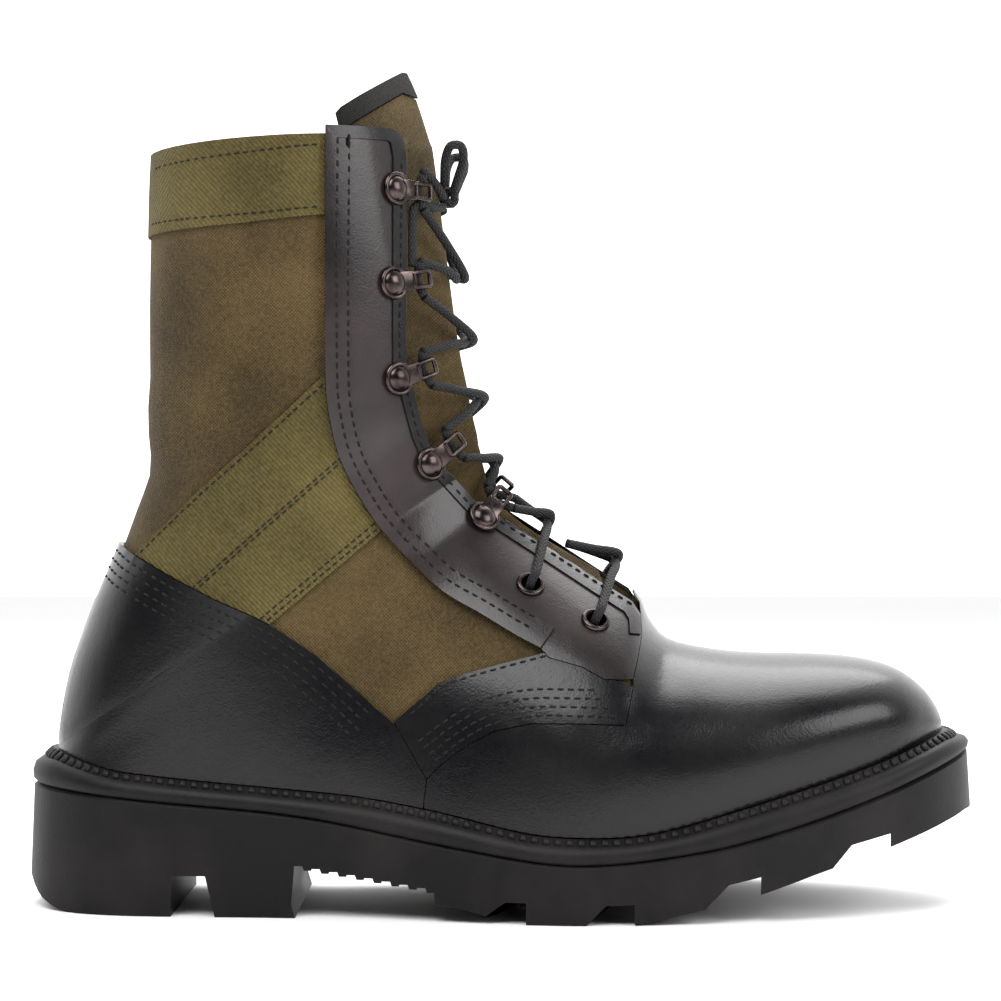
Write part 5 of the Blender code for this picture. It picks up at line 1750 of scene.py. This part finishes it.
@dataclass
class Upper:
    """Canvas wall, leather and webbing panels and their seams."""

    bench: Bench
    form: "LastForm"
    border_rows: tuple = (0.0026, 0.0060)
    edge_row: float = 0.0033
    strip_row: float = 0.0020
    strip_rows: tuple = (0.0016, 0.0042, 0.0068, 0.0094)
    counter_rows: tuple = (0.0026, 0.0056, 0.0086, 0.0116)
    webbing_row: float = 0.0022
    webbing_rows: tuple = (0.46, 0.485, 0.93, 0.97)
    strip_tail: tuple = (-0.122, 0.050)
    collar_low: tuple = ((-0.395, 0.880), (-0.284, 0.885), (-0.200, 0.898))
    collar_high: tuple = ((-0.390, 0.972), (-0.284, 0.985), (-0.200, 1.000))
    rounding: float = 0.003
    shade_angle: float = 38

    def panel(self, name: str, slot: Slot, outline: list, heights: tuple, side: float,
              clear: list, nodes: list, top: int = LAST_ROW) -> Object:
        """Cut a panel from a shell of the last.

        Args:
            name: Name of the piece.
            slot: Material slot.
            outline: Side-view outline.
            heights: Lower and upper face above the last.
            side: LATERAL, MEDIAL or 0 for both.
            clear: Outlines that it stays clear of.
            nodes: CAD nodes that it replaces.
            top: Section that it ends at.

        Returns:
            The panel, not yet handed over.
        """
        made = self.bench.piece(name, slot, form_shell(self.form, heights[1], heights[0], top, HEM))
        low = -LAST_WIDTH if side <= 0 else 0.0
        high = LAST_WIDTH if side >= 0 else 0.0
        self.bench.cut(made, prism(outline, low, high), "INTERSECT")
        for taken in clear:
            self.bench.cut(made, prism(grown_outline(taken, CLEAR), -LAST_WIDTH, LAST_WIDTH), "DIFFERENCE")
        made["nodes"] = nodes
        return made

    def close(self, made: Object, slot: Slot) -> None:
        """Shade and hand over a panel.

        Args:
            made: The panel.
            slot: Its material slot.
        """
        nodes = list(made["nodes"])
        del made["nodes"]
        self.bench.smooth(made, self.shade_angle)
        self.bench.hand_over(made, slot, nodes)

    def slot_mesh(self) -> BMesh:
        """Cutter of the narrow slot over the instep."""
        slot = outline_at([(-0.130, 0.30), (THROAT_FRONT, 0.15), (THROAT_FRONT, 0.45), (-0.130, 1.3)])
        return prism(slot, THROAT_MIDDLE - THROAT_HALF, THROAT_MIDDLE + THROAT_HALF)

    def build(self) -> None:
        """Build every layer of the upper."""
        bench = self.bench
        form = self.form
        wall = bench.piece("canvas_upper", Slot.CANVAS, form_shell(form, 0.0, -WALL, COLLAR, UPPER_HEM))
        for side, raised in ((LATERAL, 0.0), (MEDIAL, THROAT_RAISE)):
            low = min(side * LAST_WIDTH, THROAT_MIDDLE)
            high = max(side * LAST_WIDTH, THROAT_MIDDLE)
            bench.cut(wall, prism(throat_outline(raised), low, high), "DIFFERENCE")
        bench.cut(wall, self.slot_mesh(), "DIFFERENCE")
        quarter, counter = quarter_outline(), counter_outline()
        strip = outline_at([self.strip_tail]) + strip_outline()
        dark = Stitching("leather_seams", Slot.TAPE)
        brown = Stitching("canvas_seams", Slot.TAPE, radius=0.00026, length=0.0020, pitch=0.0027)
        for side, name, raised in ((LATERAL, "lateral", 0.0), (MEDIAL, "medial", THROAT_RAISE)):
            facing = facing_outline(raised)
            first, last = FACING_OUTER_CORNERS
            rounded = curved_2d(facing[first:last + 1], self.rounding)
            facing = facing[:first] + rounded + facing[last + 1:]
            last = first + len(rounded) - 1
            made = self.panel("facing_" + name, Slot.FACING, facing, (CLEAR, FACING_LEATHER), side, [],
                              ["eyestay_" + name])
            bench.cut(made, self.slot_mesh(), "DIFFERENCE")
            for spot in EYELETS:
                drill = drill_mesh(form, side, spot)
                bench.cut(made, drill.copy(), "DIFFERENCE")
                bench.cut(wall, drill, "DIFFERENCE")
            self.close(made, Slot.FACING)
            rim = facing[first:last + 1]
            inside = grown_outline(facing, -BORDER_WIDTH)[first:last + 1]
            border = self.panel("facing_border_" + name, Slot.FACING, rim + inside[::-1],
                                (FACING_LEATHER + BORDER_LAP, FACING_LEATHER + BORDER_HIGH), side, [], [])
            self.close(border, Slot.FACING)
            narrowed = grown_outline(facing, -EDGE_WIDTH)
            edge_line = facing[last:] + facing[:EDGE_CORNERS]
            edge_in = narrowed[last:] + narrowed[:EDGE_CORNERS]
            edge = self.panel("facing_edge_" + name, Slot.LEATHER, edge_line + edge_in[::-1],
                              (FACING_LEATHER + EDGE_LAP, FACING_LEATHER + EDGE_HIGH), side, [], [])
            self.close(edge, Slot.LEATHER)
            for inwards in self.border_rows:
                line = offset_line(facing, first + 1, last, inwards)
                dark.seam(form, side, line, FACING_LEATHER + BORDER_HIGH)
            line = offset_line(facing, 0, EDGE_CORNERS - 3, self.edge_row)
            dark.seam(form, side, line, FACING_LEATHER + EDGE_HIGH)
            strap = self.panel("instep_strip_" + name, Slot.LEATHER, strip, (CLEAR, COUNTER_LEATHER), side,
                               [facing, counter], ["vamp_strip_" + name])
            self.close(strap, Slot.LEATHER)
            dark.seam(form, side, offset_line(strip, 1, len(STRIP_TOP), self.strip_row), COUNTER_LEATHER)
            for inwards in self.strip_rows:
                line = offset_line(strip, len(STRIP_TOP) + 2, len(strip) - 2, inwards)
                dark.seam(form, side, line, COUNTER_LEATHER)
            webbing = ankle_outline()
            strap = self.panel("ankle_strap_" + name, Slot.WEBBING, webbing, (CLEAR, WEBBING), side,
                               [facing, counter], ["ankle_webbing_" + name])
            self.close(strap, Slot.WEBBING)
            brown.seam(form, side, [(x, z - self.webbing_row) for x, z in outline_at(WEB_UP)], WEBBING)
            for level in self.webbing_rows:
                a = [Vector(p) for p in outline_at(WEB_UP)]
                start = a[0].lerp(Vector(outline_at(WEB_LOW)[1]), level)
                end = a[-1].lerp(Vector(outline_at(WEB_LOW)[0]), level)
                brown.seam(form, side, [tuple(start), tuple(start.lerp(end, 0.5)), tuple(end)], WEBBING)
            for inwards in self.counter_rows:
                dark.seam(form, side, offset_line(counter, 0, len(COUNTER_TOP) - 2, inwards), COUNTER_LEATHER)
            for row in (self.collar_low, self.collar_high):
                brown.seam(form, side, outline_at(row), WEBBING)
        bench.smooth(wall, self.shade_angle)
        bench.hand_over(wall, Slot.CANVAS, ["upper"])
        heel = self.panel("counter_leather", Slot.LEATHER, counter, (CLEAR, COUNTER_LEATHER), 0, [],
                          ["heel_counter"])
        self.close(heel, Slot.LEATHER)
        facing = facing_outline(0.0)
        band = self.panel("collar_band", Slot.WEBBING, collar_outline(), (CLEAR, WEBBING), 0, [facing],
                          ["collar_webbing"], COLLAR)
        self.close(band, Slot.WEBBING)
        vamp = self.panel("vamp_leather", Slot.LEATHER, vamp_outline(), (CLEAR, VAMP_LEATHER), 0,
                          [quarter, facing, facing_outline(THROAT_RAISE)], ["vamp"])
        bench.cut(vamp, self.slot_mesh(), "DIFFERENCE")
        self.close(vamp, Slot.LEATHER)
        dark.done(bench)
        brown.done(bench)


@dataclass
class Tongue:
    """Canvas tongue with its bound top edge."""

    bench: Bench
    form: "LastForm"

    def build(self) -> None:
        """Build the tongue and its binding."""
        parts = ((0.0, "tongue_canvas", Slot.CANVAS, TONGUE_BODY, "tongue"),
                 (BINDING, "tongue_tape", Slot.TAPE, TONGUE_BAND, "tongue_binding"))
        for proud, name, slot, outline, node in parts:
            made = self.bench.piece(name, slot, tongue_sheet(self.form, proud))
            self.bench.cut(made, prism(outline_at(outline), -LAST_WIDTH, LAST_WIDTH), "INTERSECT")
            self.bench.smooth(made, 45)
            self.bench.hand_over(made, slot, [node])


@dataclass
class Sole:
    """Outsole, and welt with its band of teeth."""

    bench: Bench

    def outsole(self) -> None:
        """The lugged rubber sole, with its edges slightly rounded."""
        mesh = bmesh.new()
        plan_rings(mesh, [
            (SIDE_MARGIN + SOLE_FLARE, tread_low),
            (SIDE_MARGIN, lambda x: sole_top(x) - CLEAR - SOLE_CHAMFER),
            (SIDE_MARGIN - SOLE_CHAMFER, lambda x: sole_top(x) - CLEAR),
        ])
        sole = self.bench.piece("rubber_sole", Slot.RUBBER, mesh)
        reach = LAST_WIDTH
        for shares in LUG_GROOVES:
            outline = sole_outline(shares)
            self.bench.cut(sole, prism(outline, GROOVE_LAP, -reach, LUG_SLANT), "DIFFERENCE")
            self.bench.cut(sole, prism(outline, -GROOVE_LAP, reach, LUG_SLANT), "DIFFERENCE")
        for outline in (sole_outline(HEEL_NOTCH), waist_outline()):
            self.bench.cut(sole, prism(outline, -reach, reach), "DIFFERENCE")
        self.bench.cut(sole, prism(channel_outline(), -CHANNEL_WIDTH / 2, CHANNEL_WIDTH / 2), "DIFFERENCE")
        self.bench.smooth(sole, 28)
        self.bench.hand_over(sole, Slot.RUBBER, ["outsole"])

    def welt(self) -> None:
        """The slab with its rounded band."""
        mesh = bmesh.new()
        plan_rings(mesh, [(SIDE_MARGIN * reach, self.between(share)) for reach, share in WELT_PROFILE])
        welt = self.bench.piece("welt_band", Slot.RUBBER, mesh)
        self.bench.smooth(welt, 50)
        self.bench.hand_over(welt, Slot.RUBBER, ["welt"])

    def between(self, share: float) -> Callable:
        """Height between the outsole's top and the feather line."""
        return lambda x: sole_top(x) + (feather_z(x) - CLEAR - sole_top(x)) * share

    def teeth(self) -> None:
        """The row of rounded teeth that stands on the welt's slope, all around the upper."""
        low, high = TOOTH_SHARES
        foot = [Vector((p.x, p.y, self.between(low)(p.x))) for p in plan_points(SIDE_MARGIN * TOOTH_FOOT)]
        head = [Vector((p.x, p.y, self.between(high)(p.x))) for p in plan_points(SIDE_MARGIN * TOOTH_HEAD)]
        places = [0.0]
        count = len(foot)
        for i in range(count):
            places.append(places[-1] + (foot[(i + 1) % count] - foot[i]).length)
        number = round(places[-1] / TOOTH_PITCH)
        mesh = bmesh.new()
        for k in range(number):
            at = places[-1] * (k + 0.5) / number
            i = 0
            while places[i + 1] < at:
                i += 1
            share = (at - places[i]) / (places[i + 1] - places[i])
            bottom = foot[i].lerp(foot[(i + 1) % count], share)
            top = head[i].lerp(head[(i + 1) % count], share)
            along = (foot[(i + 1) % count] - foot[i]).normalized()
            self.tooth(mesh, bottom, top, along)
        made = self.bench.piece("welt_teeth", Slot.RUBBER, mesh)
        made.data.shade_smooth()
        self.bench.hand_over(made, Slot.RUBBER, [])

    def tooth(self, mesh: BMesh, bottom: Vector, top: Vector, along: Vector) -> None:
        """Add one rounded tooth.

        Args:
            mesh: Mesh that takes it.
            bottom: Middle of its lower end.
            top: Middle of its upper end.
            along: Direction around the welt.
        """
        rise = top - bottom
        out = rise.cross(along).normalized()
        if out.z < 0:
            out = -out
        rings = []
        for level, width, proud in TOOTH_RINGS:
            ring = []
            for side, lift in TOOTH_SECTION:
                step = along * side * width * TOOTH_PITCH * TOOTH_SHARE / 2
                ring.append(mesh.verts.new(bottom + rise * level + step + out * lift * proud * TOOTH_PROUD))
            rings.append(ring)
        skin(mesh, rings, False)

    def build(self) -> None:
        """Build the sole's pieces."""
        self.outsole()
        self.welt()
        self.teeth()


@dataclass
class Hardware:
    """Lace hooks and eyelets."""

    bench: Bench
    form: "LastForm"
    dome: float = 0.80      # radii of the rivet, as shares of its whole radius
    ring: float = 0.86
    ring_wire: float = 0.14
    arm_wide: float = 1.25
    arm_start: float = 0.35
    arm_lap: float = 0.0008
    arm_thin: float = 0.8
    arm_levels: tuple = (-0.0004, 0.0002)
    arm_edge: float = 0.00028
    wire_corners: tuple = ((0.0, -0.40), (0.93, -0.40), (0.93, 0.40), (0.0, 0.40))
    wire_steps: tuple = (0.08, 0.2, 0.5, 0.8, 0.92)
    wire_lift: float = 0.0003
    shade_angle: float = 40

    def rivet(self) -> Object:
        """Domed rivet head with a rolled ring around it.

        Returns:
            The rivet at the origin.
        """
        bpy.ops.object.select_all(action="DESELECT")
        bpy.ops.mesh.primitive_uv_sphere_add(segments=32, ring_count=16, radius=HOOK_RADIUS * self.dome)
        dome = bpy.context.object
        bpy.ops.object.mode_set(mode="EDIT")
        bpy.ops.mesh.select_all(action="SELECT")
        bpy.ops.mesh.bisect(plane_co=(0, 0, 0), plane_no=(0, 0, 1), clear_inner=True, use_fill=True)
        bpy.ops.mesh.select_all(action="SELECT")
        flat = HOOK_DOME / (HOOK_RADIUS * self.dome)
        bpy.ops.transform.resize(value=(1.0, 1.0, flat), center_override=(0, 0, 0))
        bpy.ops.object.mode_set(mode="OBJECT")
        bpy.ops.object.select_all(action="DESELECT")
        bpy.ops.mesh.primitive_torus_add(major_segments=40, minor_segments=10,
                                         major_radius=HOOK_RADIUS * self.ring,
                                         minor_radius=HOOK_RADIUS * self.ring_wire)
        ring = bpy.context.object
        bpy.ops.object.mode_set(mode="EDIT")
        bpy.ops.mesh.select_all(action="SELECT")
        bpy.ops.transform.translate(value=(0, 0, HOOK_RADIUS * (self.ring_wire - 0.01)))
        bpy.ops.object.mode_set(mode="OBJECT")
        self.bench.join(dome, ring)
        return dome

    def arm(self) -> Object:
        """Flat arm that narrows to the squared wire loop.

        Returns:
            The arm at the origin.
        """
        bpy.ops.object.select_all(action="DESELECT")
        bpy.ops.mesh.primitive_cube_add(size=1.0)
        arm = bpy.context.object
        mesh = bmesh.new()
        mesh.from_mesh(arm.data)
        start = HOOK_REACH - HOOK_LOOP_LONG
        for vert in mesh.verts:
            far = vert.co.x > 0
            vert.co.y *= HOOK_LOOP_WIDE if far else HOOK_RADIUS * self.arm_wide
            vert.co.x = start + self.arm_lap if far else HOOK_RADIUS * self.arm_start
            vert.co.z = vert.co.z * HOOK_THICK * self.arm_thin + HOOK_LIFT + self.arm_levels[far]
        mesh.to_mesh(arm.data)
        mesh.free()
        self.round_edges(arm, self.arm_edge)
        route = []
        for i, (x, y) in enumerate(self.wire_corners):
            after = self.wire_corners[(i + 1) % len(self.wire_corners)]
            for share in self.wire_steps:
                route.append(Vector((start + HOOK_LOOP_LONG * (x + (after[0] - x) * share),
                                     HOOK_LOOP_WIDE * (y + (after[1] - y) * share),
                                     HOOK_LIFT + self.wire_lift)))
        loop = self.bench.piece("wire", Slot.METAL, ring_tube(route, HOOK_WIRE / 2, 10))
        self.bench.join(arm, loop)
        return arm

    def round_edges(self, piece: Object, width: float) -> None:
        """Bevel a piece's sharp edges.

        Args:
            piece: The object.
            width: Width in metres.
        """
        change = piece.modifiers.new("edges", "BEVEL")
        change.width = width
        change.segments = 3
        change.limit_method = "ANGLE"
        self.bench.apply(piece, change.name)

    def seated(self, piece: Object, spot: "Fastener", side: float, lift: float) -> None:
        """Carry a piece made around the origin onto its seat on the facing.

        Args:
            piece: The object.
            spot: The hook or eyelet.
            side: LATERAL or MEDIAL.
            lift: Height of its seat above the last.
        """
        seat, normal, ahead, across = frame_of(self.form, side, spot)
        base = seat + normal * lift
        turn = Matrix((ahead, across, normal)).transposed().to_4x4()
        piece.data.transform(Matrix.Translation(base) @ turn)

    def hook(self, name: str, side: float, spot: "Fastener", node: str) -> None:
        """Build one hook and hand it over.

        Args:
            name: Name of the piece.
            side: LATERAL or MEDIAL.
            spot: The hook or eyelet.
            node: CAD node that it replaces.
        """
        dome = self.rivet()
        arm = self.arm()
        self.bench.join(dome, arm)
        dome.name = name
        dome.data.materials.clear()
        dome.data.materials.append(self.bench.finish(Slot.METAL))
        self.bench.smooth(dome, self.shade_angle)
        seat, normal, ahead, _ = frame_of(self.form, side, spot)
        hollow = hollow_at(self.form, seat, normal, ahead)
        self.seated(dome, spot, side, FACING_LEATHER + CLEAR + hollow)
        self.bench.hand_over(dome, Slot.METAL, [node])

    def eyelet(self, name: str, side: float, spot: "Fastener", node: str) -> None:
        """Build one rolled eyelet by turning its section, and hand it over.

        Args:
            name: Name of the piece.
            side: LATERAL or MEDIAL.
            spot: The hook or eyelet.
            node: CAD node that it replaces.
        """
        high = FACING_LEATHER + CLEAR
        wide = (EYELET_RADIUS - EYELET_HOLE) / 2
        profile = [(EYELET_HOLE, -WALL - CLEAR), (EYELET_HOLE, high)]
        for i in range(1, 9):
            turn = math.pi * (1 - i / 8)
            profile.append((EYELET_HOLE + wide * (1 + math.cos(turn)), high + EYELET_ROLL * math.sin(turn)))
        profile += [(EYELET_HOLE + EYELET_WALL, high), (EYELET_HOLE + EYELET_WALL, -WALL - CLEAR)]
        made = self.bench.piece(name, Slot.METAL, turned(profile, 40))
        self.bench.smooth(made, self.shade_angle)
        self.seated(made, spot, side, 0.0)
        self.bench.hand_over(made, Slot.METAL, [node])

    def build(self) -> None:
        """Build all hooks and eyelets."""
        for side, name in ((LATERAL, "lateral"), (MEDIAL, "medial")):
            for i, spot in enumerate(HOOKS):
                self.hook(f"lace_hook_{name}_{i + 1}", side, spot, f"hook_{name}_{i + 1}")
            for i, spot in enumerate(EYELETS):
                self.eyelet(f"rolled_eyelet_{name}_{i + 1}", side, spot, f"eyelet_{name}_{i + 1}")


def ring_tube(route: list, radius: float, sides: int) -> BMesh:
    """A closed tube around a loop of points that lie in one plane.

    Args:
        route: Points of the loop.
        radius: Radius of the wire.
        sides: Corners of its section.

    Returns:
        The mesh.
    """
    mesh = bmesh.new()
    rings = []
    count = len(route)
    for i, here in enumerate(route):
        along = (route[(i + 1) % count] - route[i - 1]).normalized()
        across = Vector((0, 0, 1)).cross(along)
        ring = []
        for k in range(sides):
            turn = 2 * math.pi * k / sides
            away = across * math.cos(turn) + Vector((0, 0, 1)) * math.sin(turn)
            ring.append(mesh.verts.new(here + away * radius))
        rings.append(ring)
    skin(mesh, rings, True)
    bmesh.ops.recalc_face_normals(mesh, faces=mesh.faces)
    return mesh


def cord_mesh(line: list, radius: float, sides: int = 14) -> BMesh:
    """A round cord along a line, with flat capped ends and a map along and around it.

    Args:
        line: Points of its centre line.
        radius: Its radius.
        sides: Corners of its section.

    Returns:
        The mesh.
    """
    mesh = bmesh.new()
    lay = mesh.loops.layers.uv.new("lay")
    rings = []
    run = 0.0
    up = Vector((0.3, 0.2, 1.0))
    last = len(line) - 1
    for i, here in enumerate(line):
        along = (line[min(i + 1, last)] - line[max(i - 1, 0)]).normalized()
        across = (up - along * up.dot(along)).normalized()
        up = across
        third = along.cross(across)
        if i:
            run += (here - line[i - 1]).length
        ring = []
        for k in range(sides):
            turn = 2 * math.pi * k / sides
            ring.append(mesh.verts.new(here + (across * math.cos(turn) + third * math.sin(turn)) * radius))
        rings.append((ring, run))
    for (low, start), (high, end) in zip(rings, rings[1:]):
        for k in range(sides):
            j = (k + 1) % sides
            face = mesh.faces.new((low[k], low[j], high[j], high[k]))
            for loop, u, v in zip(face.loops, (k, k + 1, k + 1, k), (start, start, end, end)):
                loop[lay].uv = (u / sides, v)
    for ring, outward in ((rings[0][0], True), (rings[-1][0], False)):
        mesh.faces.new(ring[::-1] if outward else ring)
    bmesh.ops.recalc_face_normals(mesh, faces=mesh.faces)
    return mesh


@dataclass
class Lacing:
    """The lace: strands from the front eyelets up to the top hooks, with its knot and bow."""

    bench: Bench
    form: "LastForm"
    step: float = 0.0011
    knot_points: int = 25
    knot_turns: int = 2
    knot_ahead: float = 0.0016
    knot_high: float = 0.0020
    knot_seat: tuple = (-0.0022, 0.0056, -0.0004)
    shortest: float = 0.03

    def strand(self, name: str, points: list, nodes: list, radius: float = LACE_SEEN) -> Object:
        """Build one strand along a smooth line through its points.

        Args:
            name: Name of the piece.
            points: Points in order.
            nodes: CAD nodes that it replaces.
            radius: Radius of the lace.

        Returns:
            The strand.
        """
        line = smooth_line(points, self.step)
        made = self.bench.piece(name, Slot.LACE, cord_mesh(line, radius))
        made.data.shade_smooth()
        self.bench.hand_over(made, Slot.LACE, nodes)
        return made

    def free(self, name: str, points: list, nodes: list, far_end: str, radius: float = LACE_SEEN) -> None:
        """Args:
            name: Name of the piece.
            points: Points in order.
            nodes: CAD nodes that it replaces.
            far_end: What its far end is; not used.
            radius: Radius of the lace.
        """
        made = self.strand(name, points, nodes, radius)
        line = smooth_line(points, self.step)

    def crossings(self) -> None:
        """The crossing strands, each pair in place of one CAD node."""
        stops = [(spot, True) for spot in HOOKS] + [(spot, False) for spot in EYELETS]
        for i, crossing in enumerate(CROSSINGS):
            for side, name in ((LATERAL, "a"), (MEDIAL, "b")):
                over = LACE_RISE if side > 0 else 0.0
                over += crossing.raised * FACING_LEATHER
                middle = ridge_spot(crossing.place, LACE * 0.5 + LACE_LIFT + over, 0.0)
                low = lace_start(self.form, side, *stops[i + 1], True)
                high = lace_start(self.form, -side, *stops[i], False)
                rise = low[-1].lerp(middle, 0.55)
                fall = middle.lerp(high[-1], 0.5)
                rise += ridge_push(rise, self.form)
                fall += ridge_push(fall, self.form)
                route = low + [rise, middle, fall] + high
                nodes = [f"lace_crossing_{i + 1}"] if name == "a" else []
                self.strand(f"lace_strand_{i + 1}{name}", route, nodes)

    def behind_hooks(self) -> None:
        """The short runs that pass behind each hook's loop, from below to above."""
        for side, name in ((LATERAL, "lateral"), (MEDIAL, "medial")):
            for i, spot in enumerate(HOOKS):
                below = lace_start(self.form, side, spot, True, False)[0]
                above = lace_start(self.form, side, spot, True, True)[0]
                near, normal, _, _ = self.form.tree.find_nearest(below.lerp(above, 0.5))
                inner = near + normal * (LACE / 2 + LACE_TIGHT)
                self.strand(f"lace_turn_{name}_{i + 1}", [below, below.lerp(inner, 0.55), inner,
                                                          above.lerp(inner, 0.55), above], [])

    def bow(self) -> None:
        """The knot, two loops and two ends."""
        form = self.form
        turns = []
        for i in range(self.knot_points):
            share = i / (self.knot_points - 1)
            turn = 2 * math.pi * self.knot_turns * share
            turns.append(KNOT + Vector((math.cos(turn) * self.knot_ahead, (share - 0.5) * 2 * KNOT_HALF,
                                        math.sin(turn) * self.knot_high)))
        self.strand("knot_turns", turns, ["lace_knot"])
        for side, name in ((LATERAL, "lateral"), (MEDIAL, "medial")):
            loop = free_route(BOW_LOOP, side, form, False)
            self.free("bow_" + name, loop, ["bow_loop_" + name], "object")
            hanging = free_route(LACE_END, side, form, True)
            self.free("end_" + name, hanging, ["lace_end_" + name], "bare")
            hook = lace_start(form, side, HOOKS[0], True, True)[0] + Vector((0, 0, LACE / 2))
            ahead, aside, up = self.knot_seat
            seat = KNOT + Vector((ahead, side * aside, up))
            middle = hook.lerp(seat, 0.5)
            middle += ridge_push(middle, form)
            self.strand("lace_top_run_" + name, [hook, middle, seat], ["lace_top_" + name])

    def build(self) -> None:
        """Build all of the lace."""
        self.bow()
        self.crossings()
        self.behind_hooks()


@dataclass
class Studio:
    """Pale floor, soft lights and the camera at the photograph's angle."""

    eye: tuple = (-0.0005, -0.9490 + FRAME_Y, 0.1319)
    lens: float = 103.29
    front: float = 0.10
    back: float = 1.9
    lights: tuple = (
        ("key", (-0.30, -0.70, 1.05), (0, 0, 0.10), 0.8, 16.0),
        ("fill", (0.85, -0.55, 0.60), (0, 0, 0.10), 0.6, 8.0),
        ("rim", (0.10, 0.60, 1.10), (0, 0, 0.05), 1.0, 14.0),
    )

    def camera(self) -> None:
        """Level camera that looks along +Y, with the photograph's scale."""
        data = bpy.data.cameras.new("camera")
        data.lens = self.lens
        data.sensor_width = 36.0
        data.clip_start = 0.01
        made = bpy.data.objects.new("camera", data)
        made.location = self.eye
        made.rotation_euler = (math.pi / 2, 0, 0)
        bpy.context.scene.collection.objects.link(made)
        bpy.context.scene.camera = made

    def light(self, name: str, place: tuple, aim: tuple, size: float, power: float) -> None:
        """Add a square area light.

        Args:
            name: Name of the light.
            place: Where it hangs.
            aim: Where it points.
            size: Side in metres.
            power: Watts.
        """
        data = bpy.data.lights.new(name, "AREA")
        data.size = size
        data.energy = power
        made = bpy.data.objects.new(name, data)
        made.location = place
        made.rotation_euler = (Vector(aim) - Vector(place)).to_track_quat("-Z", "Y").to_euler()
        bpy.context.scene.collection.objects.link(made)

    def floor(self) -> None:
        """Pale flat floor around the boot."""
        bpy.ops.object.select_all(action="DESELECT")
        bpy.ops.mesh.primitive_plane_add(size=6.0)
        floor = bpy.context.object
        floor.name = "floor"
        g = Graph("pale_floor")
        tone = g.ramp(g.noise(g.object_place(), 3.0), (0.86, 0.86, 0.86), (0.90, 0.90, 0.90))
        g.put(tone, g.shader.inputs["Base Color"])
        g.shader.inputs["Roughness"].default_value = 0.7
        floor.data.materials.append(g.material)

    def build(self) -> None:
        """Set the stage."""
        self.camera()
        self.floor()
        for row in self.lights:
            self.light(*row)
        world = bpy.data.worlds.new("pale")
        world.use_nodes = True
        tree = world.node_tree
        place = tree.nodes.new("ShaderNodeTexCoord")
        split = tree.nodes.new("ShaderNodeSeparateXYZ")
        tree.links.new(place.outputs["Generated"], split.inputs[0])
        shade = tree.nodes.new("ShaderNodeMapRange")
        shade.inputs["From Min"].default_value = -0.25
        shade.inputs["From Max"].default_value = 0.35
        shade.inputs["To Min"].default_value = self.front
        shade.inputs["To Max"].default_value = self.back
        tree.links.new(split.outputs[1], shade.inputs["Value"])
        tree.nodes["Background"].inputs[0].default_value = (1.0, 1.0, 1.0, 1.0)
        tree.links.new(shade.outputs[0], tree.nodes["Background"].inputs[1])
        bpy.context.scene.world = world
        bpy.context.scene.view_settings.view_transform = "Standard"


def main() -> None:
    """Build the stage and every visual piece in order."""
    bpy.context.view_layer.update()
    Studio().build()
    bench = Bench()
    form = LastForm()
    Lacing(bench, form).build()
    Sole(bench).build()
    Upper(bench, form).build()
    Tongue(bench, form).build()
    Hardware(bench, form).build()
    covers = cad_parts["insole"].data.materials
    covers.clear()
    covers.append(bench.finish(Slot.TAPE))


if __name__ == "__main__":
    logging.basicConfig(level=logging.INFO, format="%(message)s")
    main()
